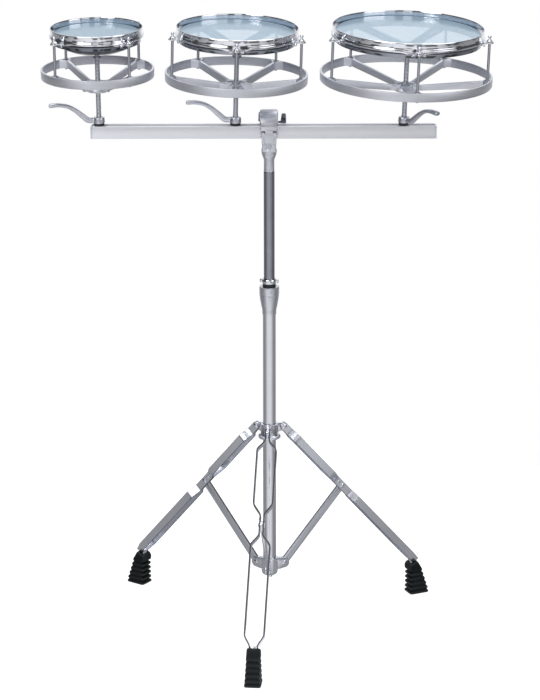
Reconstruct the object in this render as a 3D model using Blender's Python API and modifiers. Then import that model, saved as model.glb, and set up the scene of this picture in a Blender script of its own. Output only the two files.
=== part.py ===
import math

import bmesh
import bpy
from mathutils import Matrix, Vector

for leftover in list(bpy.data.objects):
    bpy.data.objects.remove(leftover, do_unlink=True)

mm = 0.001

# Clearances
gap = 0.3 * mm
head_travel = 0.9 * mm

# Rail
rail_length = 594.6 * mm
rail_middle = -9.4 * mm
rail_top = 914.7 * mm
rail_width = 22.0 * mm
rail_height = 22.0 * mm
rail_wall = 2.0 * mm
rail_slot = 11.4 * mm
rail_cap = 2.5 * mm
cap_plug = 2.0 * mm

# Posts, washers and lever nuts
post_radius = 4.35 * mm
post_height = 134.0 * mm
post_foot = 9.5 * mm
tee_length = 14.0 * mm
tee_thickness = 4.5 * mm
washer_radius = 9.0 * mm
washer_thickness = 3.2 * mm
lever_hub_radius = 10.4 * mm
lever_hub_height = 10.6 * mm
lever_width = 11.0 * mm
lever_reach = 88.0 * mm
lever_rise = 38.2 * mm

# Drum heads and hoops, heights above the rail
film_height = post_height + 29.3 * mm
hoop_top = film_height + 8.7 * mm
hoop_depth = 16.5 * mm
hoop_wall = 2.0 * mm
hoop_offset = 1.0 * mm
bead_height = 4.4 * mm
bead_reach = 1.8 * mm
film_thickness = 0.55 * mm
flange_thickness = 1.5 * mm
flesh_height = 4.3 * mm
flesh_width = 3.8 * mm
frame_bottom = film_height - 17.8 * mm
frame_band = 7.5 * mm
frame_wall = 3.6 * mm
frame_hub_bottom = post_height - 16.0 * mm
frame_hub_radius = 8.5 * mm

# Tension rods, ears and tuning rings
rod_radius = 2.4 * mm
rod_offset = 13.5 * mm
rod_head_radius = 5.3 * mm
rod_head_height = 14.3 * mm
rod_knob_radius = 3.15 * mm
ear_width = 18.0 * mm
ear_thickness = 3.0 * mm
ear_end = 7.2 * mm
claw_width = 26.0 * mm
claw_height = 3.4 * mm
ring_offset = 21.0 * mm
ring_wall = 3.7 * mm
ring_height = 15.4 * mm
ring_hub_radius = 19.5 * mm
ring_hub_bottom = 60.0 * mm
ring_nut_radius = 7.6 * mm
ring_nut_height = 4.6 * mm
spoke_width = 5.4 * mm
spoke_height = 14.0 * mm
boss_width = 26.0 * mm
boss_tip = 7.0 * mm

drums = {
    "6": {
        "head": 76.2 * mm,
        "post": rail_middle - rail_length / 2 + 14.7 * mm,
        "lean": -0.7,
        "rods": (-50, 40, 130, -140),
        "ring_top": 100.5 * mm,
        "hub_top": 75.0 * mm,
        "lever_turn": -173.0,
        "segments": 24,
    },
    "8": {
        "head": 101.6 * mm,
        "post": -58.0 * mm,
        "lean": 1.5,
        "rods": (0, 72, 144, -144, -72),
        "ring_top": 92.6 * mm,
        "hub_top": 74.5 * mm,
        "lever_turn": 180.0,
        "segments": 24,
    },
    "10": {
        "head": 127.0 * mm,
        "post": rail_middle + rail_length / 2 - 56.4 * mm,
        "lean": 2.1,
        "rods": (5.4, 77.4, 149.4, -138.6, -66.6),
        "ring_top": 91.1 * mm,
        "hub_top": 71.0 * mm,
        "lever_turn": -51.0,
        "segments": 24,
    },
}

# Rail clamp
jaw_width = 24.9 * mm
jaw_radius = 27.0 * mm
jaw_boss_radius = 9.0 * mm
jaw_boss_width = 32.6 * mm
hinge_y = -17.0 * mm
hinge_z = 902.0 * mm
hinge_pin_radius = 2.0 * mm
hinge_pin_length = 30.6 * mm
clamp_width = 27.0 * mm
clamp_bottom = 885.0 * mm
neck_bottom = 870.0 * mm
flare_bottom = 854.5 * mm
spigot_radius = 9.0 * mm
bolt_y = 27.5 * mm
bolt_z = 893.0 * mm
bolt_radius = 3.0 * mm
bolt_length = 45.0 * mm
lip_flat = 3.0 * mm
lip_fall = 2.0 * mm
nut_wing_span = 58.0 * mm

# Tubes and collar
upper_tube_radius = 9.6 * mm
upper_tube_wall = 1.4 * mm
upper_tube_top = 832.0 * mm
upper_tube_bottom = 430.0 * mm
lower_tube_radius = 11.6 * mm
lower_tube_wall = 1.6 * mm
lower_tube_top = 596.0 * mm
collar_top = 625.0 * mm
collar_bottom = 574.0 * mm
collar_radius = 17.6 * mm
collar_neck_radius = 12.9 * mm
bush_top = 630.5 * mm
bush_radius = 11.3 * mm
lock_height = 8.0 * mm
lock_radius = 13.2 * mm

# Leg hubs, legs, struts and boots
pivot_radius = 27.4 * mm
pivot_height = 361.7 * mm
leg_angle = 41.4
leg_azimuths = {"front": 5.5, "left": 125.5, "right": -114.5}
brace_length = 173.0 * mm
pivot_low = pivot_height - 2 * brace_length * math.cos(math.radians(leg_angle))
strip_end_height = 63.1558 * mm
strip_length = (pivot_height - strip_end_height) / math.cos(math.radians(leg_angle))
strip_width = 13.8 * mm
strip_thickness = 2.0 * mm
strip_wide = 36.0 * mm
lug_thickness = 4.4 * mm
neck_ends = (15.2 * mm, 155.9 * mm, 191.5 * mm)
wide_starts = (33.4 * mm, 211.5 * mm)
pinch_flat = 2.0 * mm
pinch_bend = 20.0 * mm
pinch_start = strip_length - pinch_flat
wide_ends = (133.3 * mm, pinch_start - pinch_bend)
pinch_width = 16.0 * mm
pin_radius = 2.5 * mm
pin_head_radius = 4.6 * mm
pin_head_height = 2.0 * mm
hub_radius = 15.5 * mm
hub_flange_radius = 19.5 * mm
hub_bottom = pivot_height - 16.9 * mm
hub_top = pivot_height + 9.4 * mm
spider_radius = 14.6 * mm
spider_bottom = pivot_low - 17.1616 * mm
spider_top = pivot_low + 14.8384 * mm
spider_ear_radius = 9.5 * mm
spider_ear_thickness = 2.0 * mm
boot_inset = 48.1814 * mm
boot_radius = pivot_radius + pivot_height * math.tan(math.radians(leg_angle)) - boot_inset
boot_thickness = 29.5 * mm
boot_taper = 2.9
sole_height = 3.0 * mm
boot_mouth = ((-22.0 * mm, 50.5 * mm), (-19.0 * mm, 57.0 * mm), (-8.0 * mm, 65.5 * mm), (-3.5 * mm, 60.5 * mm))
rib_pitch = 9.0 * mm
rib_outer = (5.5 * mm, 45.0 * mm)
rib_inner = (-20.3 * mm, 38.0 * mm)
rib_spread = 2.9 * mm
notch_outer = 2.6 * mm
notch_inner = 5.4 * mm
stem_width = 12.4 * mm
stem_outline = (
    (-15.0 * mm, 64.0 * mm),
    (-8.5 * mm, 66.0 * mm),
    (-2.0 * mm, 50.0 * mm),
    (-2.0 * mm, 36.0 * mm),
    (-11.0 * mm, 36.0 * mm),
    (-16.0 * mm, 52.0 * mm),
)


def collection(name):
    made = bpy.data.collections.new(name)
    bpy.context.scene.collection.children.link(made)
    return made


set_parts = collection("rototom_set")


def bake(thing):
    graph = bpy.context.evaluated_depsgraph_get()
    mesh = bpy.data.meshes.new_from_object(thing.evaluated_get(graph))
    bpy.data.objects.remove(thing, do_unlink=True)
    work = bmesh.new()
    work.from_mesh(mesh)
    bmesh.ops.remove_doubles(work, verts=work.verts, dist=1e-6)
    bmesh.ops.dissolve_degenerate(work, edges=work.edges, dist=1e-6)
    bmesh.ops.recalc_face_normals(work, faces=work.faces)
    work.to_mesh(mesh)
    work.free()
    return mesh


def holder(data):
    made = bpy.data.objects.new("work", data)
    bpy.context.scene.collection.objects.link(made)
    return made


def revolve(points, segments, closed=True):
    profile = bpy.data.meshes.new("profile")
    edges = [(index, index + 1) for index in range(len(points) - 1)]
    if closed:
        edges.append((len(points) - 1, 0))
    profile.from_pydata([(radius, 0.0, height) for radius, height in points], edges, [])
    thing = holder(profile)
    turn = thing.modifiers.new("turn", "SCREW")
    turn.axis = "Z"
    turn.angle = math.tau
    turn.steps = segments
    turn.render_steps = segments
    turn.use_merge_vertices = True
    turn.merge_threshold = 1e-5
    return bake(thing)


def ring(outer, inner, low, high, segments, chamfer=0.0):
    return revolve(
        [
            (outer - chamfer, high),
            (outer, high - chamfer),
            (outer, low + chamfer),
            (outer - chamfer, low),
            (inner, low),
            (inner, high),
        ]
        if chamfer
        else [(outer, high), (outer, low), (inner, low), (inner, high)],
        segments,
    )


def rod(radius, low, high, segments, chamfer=0.0):
    if not chamfer:
        return revolve([(0, high), (radius, high), (radius, low), (0, low)], segments, closed=False)
    return revolve(
        [
            (0, high),
            (radius - chamfer, high),
            (radius, high - chamfer),
            (radius, low + chamfer),
            (radius - chamfer, low),
            (0, low),
        ],
        segments,
        closed=False,
    )


def arc(x, y, radius, start, end, steps):
    points = []
    for step in range(steps + 1):
        angle = math.radians(start + (end - start) * step / steps)
        points.append((x + radius * math.cos(angle), y + radius * math.sin(angle)))
    return points


def circle(x, y, radius, steps):
    return arc(x, y, radius, 0, 360, steps)[:-1]


def hole_loop(x, y, radius, steps):
    return circle(x, y, radius / math.cos(math.pi / steps), steps)


def prism(outline, thickness, holes=()):
    curve = bpy.data.curves.new("outline", "CURVE")
    curve.dimensions = "2D"
    curve.fill_mode = "BOTH"
    curve.extrude = thickness / 2
    for loop in (outline, *holes):
        spline = curve.splines.new("POLY")
        spline.points.add(len(loop) - 1)
        for point, (x, y) in zip(spline.points, loop):
            point.co = (x, y, 0, 1)
        spline.use_cyclic_u = True
    return bake(holder(curve))


def box(x_range, y_range, z_range):
    work = bmesh.new()
    sizes = [high - low for low, high in (x_range, y_range, z_range)]
    centre = [(high + low) / 2 for low, high in (x_range, y_range, z_range)]
    bmesh.ops.create_cube(work, size=1.0)
    bmesh.ops.scale(work, vec=sizes, verts=work.verts)
    bmesh.ops.translate(work, vec=centre, verts=work.verts)
    mesh = bpy.data.meshes.new("box")
    work.to_mesh(mesh)
    work.free()
    return mesh


def moved(mesh, matrix):
    mesh.transform(matrix)
    return mesh


def gathered(mesh, matrices):
    work = bmesh.new()
    for matrix in matrices:
        copy = mesh.copy()
        copy.transform(matrix)
        work.from_mesh(copy)
        bpy.data.meshes.remove(copy)
    result = bpy.data.meshes.new("group")
    work.to_mesh(result)
    work.free()
    return result


def together(*meshes):
    work = bmesh.new()
    for mesh in meshes:
        work.from_mesh(mesh)
    result = bpy.data.meshes.new("group")
    work.to_mesh(result)
    work.free()
    return result


def combined(base, tool, operation):
    body = holder(base)
    other = holder(tool)
    change = body.modifiers.new("change", "BOOLEAN")
    change.operation = operation
    change.solver = "EXACT"
    change.object = other
    mesh = bake(body)
    bpy.data.objects.remove(other, do_unlink=True)
    return mesh


def joined(base, *tools):
    for tool in tools:
        base = combined(base, tool, "UNION")
    return base


def cut(base, *tools):
    for tool in tools:
        base = combined(base, tool, "DIFFERENCE")
    return base


def turn_z(degrees):
    return Matrix.Rotation(math.radians(degrees), 4, "Z")


def turn_y(degrees):
    return Matrix.Rotation(math.radians(degrees), 4, "Y")


def turn_x(degrees):
    return Matrix.Rotation(math.radians(degrees), 4, "X")


def shift(x=0.0, y=0.0, z=0.0):
    return Matrix.Translation((x, y, z))


# An outline drawn in X and Y stands up in the XZ plane, or in the YZ plane.
stand_up = turn_x(90)
face_side = Matrix(((0, 0, 1, 0), (1, 0, 0, 0), (0, 1, 0, 0), (0, 0, 0, 1)))


def paint(name, colour, roughness, metallic):
    material = bpy.data.materials.new(name)
    material.use_nodes = True
    shader = material.node_tree.nodes["Principled BSDF"]
    shader.inputs["Base Color"].default_value = (*colour, 1.0)
    shader.inputs["Roughness"].default_value = roughness
    shader.inputs["Metallic"].default_value = metallic
    return material


chrome = ((0.72, 0.74, 0.76), 0.14, 1.0)
satin = ((0.60, 0.62, 0.66), 0.34, 1.0)
anodised = ((0.52, 0.53, 0.60), 0.42, 0.9)
steel = ((0.55, 0.56, 0.58), 0.26, 1.0)
black_plastic = ((0.018, 0.020, 0.022), 0.50, 0.0)
rubber = ((0.016, 0.018, 0.020), 0.78, 0.0)
film = ((0.50, 0.62, 0.74), 0.30, 0.0)


def axis(name, parent, location=(0, 0, 0), rotation=(0, 0, 0)):
    empty = bpy.data.objects.new(name, None)
    empty.empty_display_size = 0.02
    set_parts.objects.link(empty)
    empty.parent = parent
    empty.location = location
    empty.rotation_euler = [math.radians(value) for value in rotation]
    return empty


def piece(name, mesh, finish, parent, location=(0, 0, 0), rotation=(0, 0, 0), sharp=35):
    if not mesh.materials:
        mesh.name = name
        mesh.materials.append(paint(name, *finish))
        mesh.shade_smooth()
        mesh.set_sharp_from_angle(angle=math.radians(sharp))
    made = bpy.data.objects.new(name, mesh)
    set_parts.objects.link(made)
    made.parent = parent
    made.location = location
    made.rotation_euler = [math.radians(value) for value in rotation]
    return made


def heading(azimuth):
    return azimuth - 90.0


def spline_point(points, position):
    count = len(points) - 1
    index = min(int(position * count), count - 1)
    local = position * count - index
    before = points[max(index - 1, 0)]
    here = points[index]
    after = points[index + 1]
    beyond = points[min(index + 2, count)]
    result = []
    for a, b, c, d in zip(before, here, after, beyond):
        value = 2 * b + (c - a) * local
        value += (2 * a - 5 * b + 4 * c - d) * local ** 2
        value += (3 * b - a - 3 * c + d) * local ** 3
        result.append(value / 2)
    return result


def loft(sections):
    count = len(sections[0])
    points = [point for section in sections for point in section]
    faces = [tuple(range(count))[::-1]]
    for level in range(len(sections) - 1):
        for index in range(count):
            following = (index + 1) % count
            low = level * count
            high = low + count
            faces.append((low + index, low + following, high + following, high + index))
    last = (len(sections) - 1) * count
    faces.append(tuple(range(last, last + count)))
    mesh = bpy.data.meshes.new("loft")
    mesh.from_pydata(points, [], faces)
    return bake(holder(mesh))


def post_mesh():
    shaft = rod(post_radius, -post_foot, post_height, 12, chamfer=0.6 * mm)
    tee_top = -rail_wall - 0.7 * mm
    tee_width = rail_width - 2 * rail_wall - 2 * gap
    tee = box(
        (-tee_length / 2, tee_length / 2),
        (-tee_width / 2, tee_width / 2),
        (tee_top - tee_thickness, tee_top),
    )
    return joined(shaft, tee)


def lever_mesh(base):
    top = base + lever_hub_height
    hub = revolve(
        [
            (lever_hub_radius - 2.2 * mm, top),
            (lever_hub_radius - 1.1 * mm, top - 1.0 * mm),
            (lever_hub_radius, base + 1.0 * mm),
            (lever_hub_radius - 0.6 * mm, base),
            (post_radius + gap, base),
            (post_radius + gap, top),
        ],
        16,
    )
    centre = [
        (6.4 * mm, base + 5.2 * mm, 4.6 * mm),
        (17.0 * mm, base + 5.6 * mm, 5.2 * mm),
        (28.0 * mm, 0.46 * lever_rise, 4.6 * mm),
        (41.0 * mm, 0.74 * lever_rise, 3.6 * mm),
        (54.0 * mm, 0.93 * lever_rise, 3.3 * mm),
        (69.0 * mm, lever_rise, 3.3 * mm),
        (lever_reach - 3.4 * mm, lever_rise - 0.8 * mm, 3.2 * mm),
    ]
    sections = []
    steps = 10
    for step in range(steps + 2):
        position = min(step / steps, 1.0)
        reach, height, half = spline_point(centre, position)
        ahead = spline_point(centre, min(position + 0.02, 1.0))
        behind = spline_point(centre, max(position - 0.02, 0.0))
        tilt = math.atan2(ahead[1] - behind[1], ahead[0] - behind[0])
        width = lever_width / 2 * (1.0 - 0.22 * position)
        if step >= steps:
            half *= 0.62
            width *= 0.70
        if step > steps:
            half *= 0.35
            width *= 0.45
            reach += 3.0 * mm
        elif step == steps:
            reach += 1.6 * mm
        section = []
        for corner in range(8):
            angle = math.tau * corner / 8
            across = math.copysign(abs(math.cos(angle)) ** 0.8, math.cos(angle)) * width
            rise = math.copysign(abs(math.sin(angle)) ** 0.8, math.sin(angle)) * half
            section.append(
                (reach - rise * math.sin(tilt), across, height + rise * math.cos(tilt))
            )
        sections.append(section)
    return joined(hub, loft(sections))


def hoop_mesh(drum):
    head = drum["head"]
    inner = head + hoop_offset
    outer = inner + hoop_wall
    bottom = hoop_top - hoop_depth
    flange = film_height - 2.8 * mm
    shell = revolve(
        [
            (outer, hoop_top),
            (outer, bottom + bead_height),
            (outer + bead_reach, bottom + bead_height - 1.0 * mm),
            (outer + bead_reach, bottom),
            (inner, bottom),
            (inner, flange),
            (inner - 3.4 * mm, flange),
            (inner - 3.4 * mm, flange + flange_thickness),
            (inner, flange + flange_thickness),
            (inner, hoop_top),
        ],
        drum["segments"],
    )
    reach = head + rod_offset
    ear_top = bottom + 1.9 * mm
    half = ear_width / 2
    ear = prism(
        [(outer - 1.0 * mm, -half), (reach - 1.5 * mm, -half * 0.86)]
        + arc(reach, 0, ear_end, -70, 70, 3)
        + [(reach - 1.5 * mm, half * 0.86), (outer - 1.0 * mm, half)],
        ear_thickness,
        [hole_loop(reach, 0, rod_radius + gap, 6)],
    )
    ear = moved(ear, shift(z=ear_top - ear_thickness / 2))
    claw = prism(
        [
            (outer - 1.2 * mm, -claw_width / 2),
            (outer + 4.6 * mm, -claw_width / 4),
            (outer + 4.6 * mm, claw_width / 4),
            (outer - 1.2 * mm, claw_width / 2),
        ],
        claw_height + 1.2 * mm,
    )
    claw_low = ear_top - ear_thickness - claw_height
    claw = moved(claw, shift(z=claw_low + (claw_height + 1.2 * mm) / 2))
    lug = joined(ear, claw)
    turns = [turn_z(heading(angle)) for angle in drum["rods"]]
    return joined(shell, gathered(lug, turns)), ear_top


def head_sizes(drum):
    flesh_outer = drum["head"] + hoop_offset - 0.4 * mm
    flesh_inner = flesh_outer - flesh_width
    flesh_top = film_height - 2.8 * mm - 0.4 * mm
    return flesh_outer, flesh_inner, flesh_top


def head_mesh(drum):
    flesh_outer, flesh_inner, flesh_top = head_sizes(drum)
    shoulder = flesh_inner + film_thickness
    return revolve(
        [
            (0, film_height),
            (shoulder, film_height),
            (shoulder, flesh_top),
            (flesh_outer, flesh_top),
            (flesh_outer, flesh_top - flesh_height),
            (flesh_inner, flesh_top - flesh_height),
            (flesh_inner, film_height - film_thickness),
            (0, film_height - film_thickness),
        ],
        drum["segments"],
        closed=False,
    )


def frame_mesh(name, drum):
    head = drum["head"]
    segments = drum["segments"]
    wall = head_sizes(drum)[1] - gap
    edge = film_height - film_thickness - head_travel
    band_top = frame_bottom + frame_band
    hub_top_height = post_height + 5.0 * mm
    bore = post_radius + gap + 0.1 * mm
    hub_side = [
        (frame_hub_radius, frame_hub_bottom + 5.0 * mm),
        (frame_hub_radius - 2.2 * mm, frame_hub_bottom),
        (bore, frame_hub_bottom),
        (bore, post_height + 0.5 * mm),
        (0, post_height + 0.5 * mm),
    ]
    rim_outer = [
        (wall, edge),
        (wall, band_top),
        (head - 0.5 * mm, band_top),
        (head - 0.5 * mm, frame_bottom),
    ]
    if name == "6":
        dish = [(head - 9.0 * mm, frame_bottom)]
        for step in range(1, 4):
            share = step / 4
            radius = head - 9.0 * mm - share * (head - 9.0 * mm - 22.0 * mm)
            dish.append((radius, frame_bottom - 17.5 * mm * math.sin(share * math.pi / 2)))
        inner = [
            (0, hub_top_height),
            (24.0 * mm, hub_top_height - 5.5 * mm),
            (wall - frame_wall, frame_bottom + 5.0 * mm),
            (wall - frame_wall, edge - 1.0 * mm),
        ]
        return revolve(inner + rim_outer + dish + hub_side, segments, closed=False)
    rim = revolve(
        rim_outer
        + [(wall - frame_wall, frame_bottom), (wall - frame_wall, edge - 1.0 * mm)],
        segments,
    )
    hub = revolve(
        [
            (0, hub_top_height + 4.0 * mm),
            (frame_hub_radius + 3.0 * mm, hub_top_height + 4.0 * mm),
            (frame_hub_radius + 6.0 * mm, hub_top_height + 1.0 * mm),
        ]
        + hub_side,
        12,
        closed=False,
    )
    start = frame_hub_radius
    end = wall - 1.0 * mm
    side = prism(
        [
            (start, hub_top_height - 6.0 * mm),
            (end, frame_bottom + 1.0 * mm),
            (end, frame_bottom + 6.0 * mm),
            (start, hub_top_height + 1.0 * mm),
        ],
        26.0 * mm,
    )
    side = moved(side, stand_up)
    plan = prism(
        [(start - 1 * mm, -6.0 * mm), (end + 1 * mm, -12.0 * mm), (end + 1 * mm, 12.0 * mm),
         (start - 1 * mm, 6.0 * mm)],
        60.0 * mm,
    )
    plan = moved(plan, shift(z=frame_bottom))
    arm = combined(side, plan, "INTERSECT")
    result = joined(rim, hub)
    for angle in drum["rods"]:
        copy = arm.copy()
        result = joined(result, moved(copy, turn_z(heading(angle))))
    return result


def rod_mesh(drum, ear_top):
    seat = ear_top + gap
    knob = seat + rod_head_height - rod_knob_radius
    low = drum["ring_top"] - ring_height - 2.0 * mm
    return revolve(
        [
            (0, knob + rod_knob_radius),
            (rod_knob_radius, knob + rod_knob_radius * 0.5),
            (rod_knob_radius, knob - rod_knob_radius * 0.4),
            (rod_head_radius - 3.1 * mm, knob - rod_knob_radius - 0.4 * mm),
            (rod_head_radius, seat),
            (rod_radius, seat),
            (rod_radius, low),
            (0, low),
        ],
        8,
        closed=False,
    )


def ring_mesh(drum):
    outer = drum["head"] + ring_offset
    inner = outer - ring_wall
    top = drum["ring_top"]
    low = top - ring_height
    band = revolve(
        [
            (outer, top),
            (outer - 0.5 * mm, low),
            (inner - 0.4 * mm, low),
            (inner, top),
        ],
        drum["segments"],
    )
    hub_top_height = drum["hub_top"]
    hub = revolve(
        [
            (ring_nut_radius, hub_top_height + ring_nut_height),
            (ring_nut_radius, hub_top_height),
            (ring_hub_radius - 3.0 * mm, hub_top_height - 1.6 * mm),
            (ring_hub_radius, ring_hub_bottom + 3.0 * mm),
            (ring_hub_radius, ring_hub_bottom),
            (post_radius + gap, ring_hub_bottom),
            (post_radius + gap, hub_top_height + ring_nut_height),
        ],
        14,
    )
    reach = drum["head"] + rod_offset
    start = ring_hub_radius - 5.0 * mm
    spoke_top = top - 1.2 * mm
    spoke = prism(
        [
            (start, ring_hub_bottom + 1.2 * mm),
            (reach - 5.0 * mm, spoke_top - spoke_height + 0.8 * mm),
            (reach - 5.0 * mm, spoke_top),
            (inner - 13.0 * mm, spoke_top - 1.2 * mm),
            (start, hub_top_height - 2.0 * mm),
        ],
        spoke_width,
    )
    spoke = moved(spoke, stand_up)
    boss = prism(
        [
            (reach - 7.0 * mm, -boss_tip / 2),
            (inner + 1.4 * mm, -boss_width / 2),
            (inner + 1.4 * mm, boss_width / 2),
            (reach - 7.0 * mm, boss_tip / 2),
        ],
        ring_height - 1.4 * mm,
    )
    boss = moved(boss, shift(z=(low + top) / 2))
    hole = moved(rod((rod_radius + gap) / math.cos(math.pi / 8), low - 2 * mm, top + 2 * mm, 8), shift(x=reach))
    arm = joined(boss, spoke)
    turns = [turn_z(heading(angle)) for angle in drum["rods"]]
    result = joined(band, hub, gathered(arm, turns))
    return cut(result, gathered(hole, turns))


def build_drum(name, drum, root):
    base = axis("post_base_" + name, root, (drum["post"], 0, rail_top))
    lean = axis("drum_axis_" + name, base, rotation=(0, drum["lean"], 0))
    piece("post_" + name, post_mesh(), steel, lean)
    washer_top = gap + washer_thickness
    piece(
        "washer_" + name,
        ring(washer_radius, post_radius + 2 * gap, gap, washer_top, 16),
        black_plastic,
        base,
    )
    lever_base = washer_top + gap + lever_hub_radius * abs(math.sin(math.radians(drum["lean"])))
    piece(
        "lever_nut_" + name,
        lever_mesh(lever_base),
        anodised,
        lean,
        rotation=(0, 0, drum["lever_turn"]),
    )
    hoop, ear_top = hoop_mesh(drum)
    piece("hoop_" + name, hoop, chrome, lean)
    piece("head_" + name, head_mesh(drum), film, lean)
    piece("frame_" + name, frame_mesh(name, drum), chrome, lean)
    reach = drum["head"] + rod_offset
    rod_shape = rod_mesh(drum, ear_top)
    for count, angle in enumerate(drum["rods"], 1):
        place = turn_z(heading(angle)) @ Vector((reach, 0, 0))
        piece(f"tension_rod_{name}_{count}", rod_shape, chrome, lean, place)
    piece("tuning_ring_" + name, ring_mesh(drum), satin, lean)


def build_rail(root):
    half = rail_width / 2
    lip = rail_slot / 2
    inside = half - rail_wall
    low = -rail_height
    section = [
        (-half, low),
        (half, low),
        (half, 0),
        (lip, 0),
        (lip, -rail_wall),
        (inside, -rail_wall),
        (inside, low + rail_wall),
        (-inside, low + rail_wall),
        (-inside, -rail_wall),
        (-lip, -rail_wall),
        (-lip, 0),
        (-half, 0),
    ]
    length = rail_length - 2 * rail_cap - 2 * gap
    channel = moved(prism(section, length), face_side)
    piece("rail", channel, satin, root, (rail_middle, 0, rail_top))
    plate = box((0, rail_cap), (-half, half), (low, 0))
    plug_half = inside - gap
    plug = box((-cap_plug, 1.0 * mm), (-plug_half, plug_half), (low + rail_wall + gap, -rail_wall - gap))
    cap = joined(plate, plug)
    place = rail_length / 2 - rail_cap
    piece("rail_cap_right", cap, satin, root, (rail_middle + place, 0, rail_top))
    piece("rail_cap_left", cap, satin, root, (rail_middle - place, 0, rail_top), (0, 0, 180))


def wing_mesh(hub_radius_value, hub_height, span, height, bore):
    if bore:
        body = revolve(
            [
                (hub_radius_value * 0.78, hub_height),
                (hub_radius_value, 0.8 * mm),
                (hub_radius_value, 0),
                (bore, 0),
                (bore, hub_height),
            ],
            10,
        )
    else:
        body = revolve(
            [
                (0, hub_height),
                (hub_radius_value * 0.78, hub_height),
                (hub_radius_value, 0.8 * mm),
                (hub_radius_value, 0),
                (0, 0),
            ],
            10,
            closed=False,
        )
    start = (bore or 0.0) + 1.2 * mm
    tip = span / 2
    wing = prism(
        [
            (start, 1.0 * mm),
            (hub_radius_value + 2.0 * mm, 0.8 * mm),
            (tip - 2.0 * mm, height * 0.35),
            (tip, height * 0.62),
            (tip - 0.8 * mm, height * 0.9),
            (tip - 4.0 * mm, height),
            (hub_radius_value + 4.0 * mm, hub_height * 0.9),
            (start, hub_height * 0.85),
        ],
        3.0 * mm,
    )
    wing = moved(wing, stand_up)
    return joined(body, together(wing.copy(), moved(wing.copy(), turn_z(180))))


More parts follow.
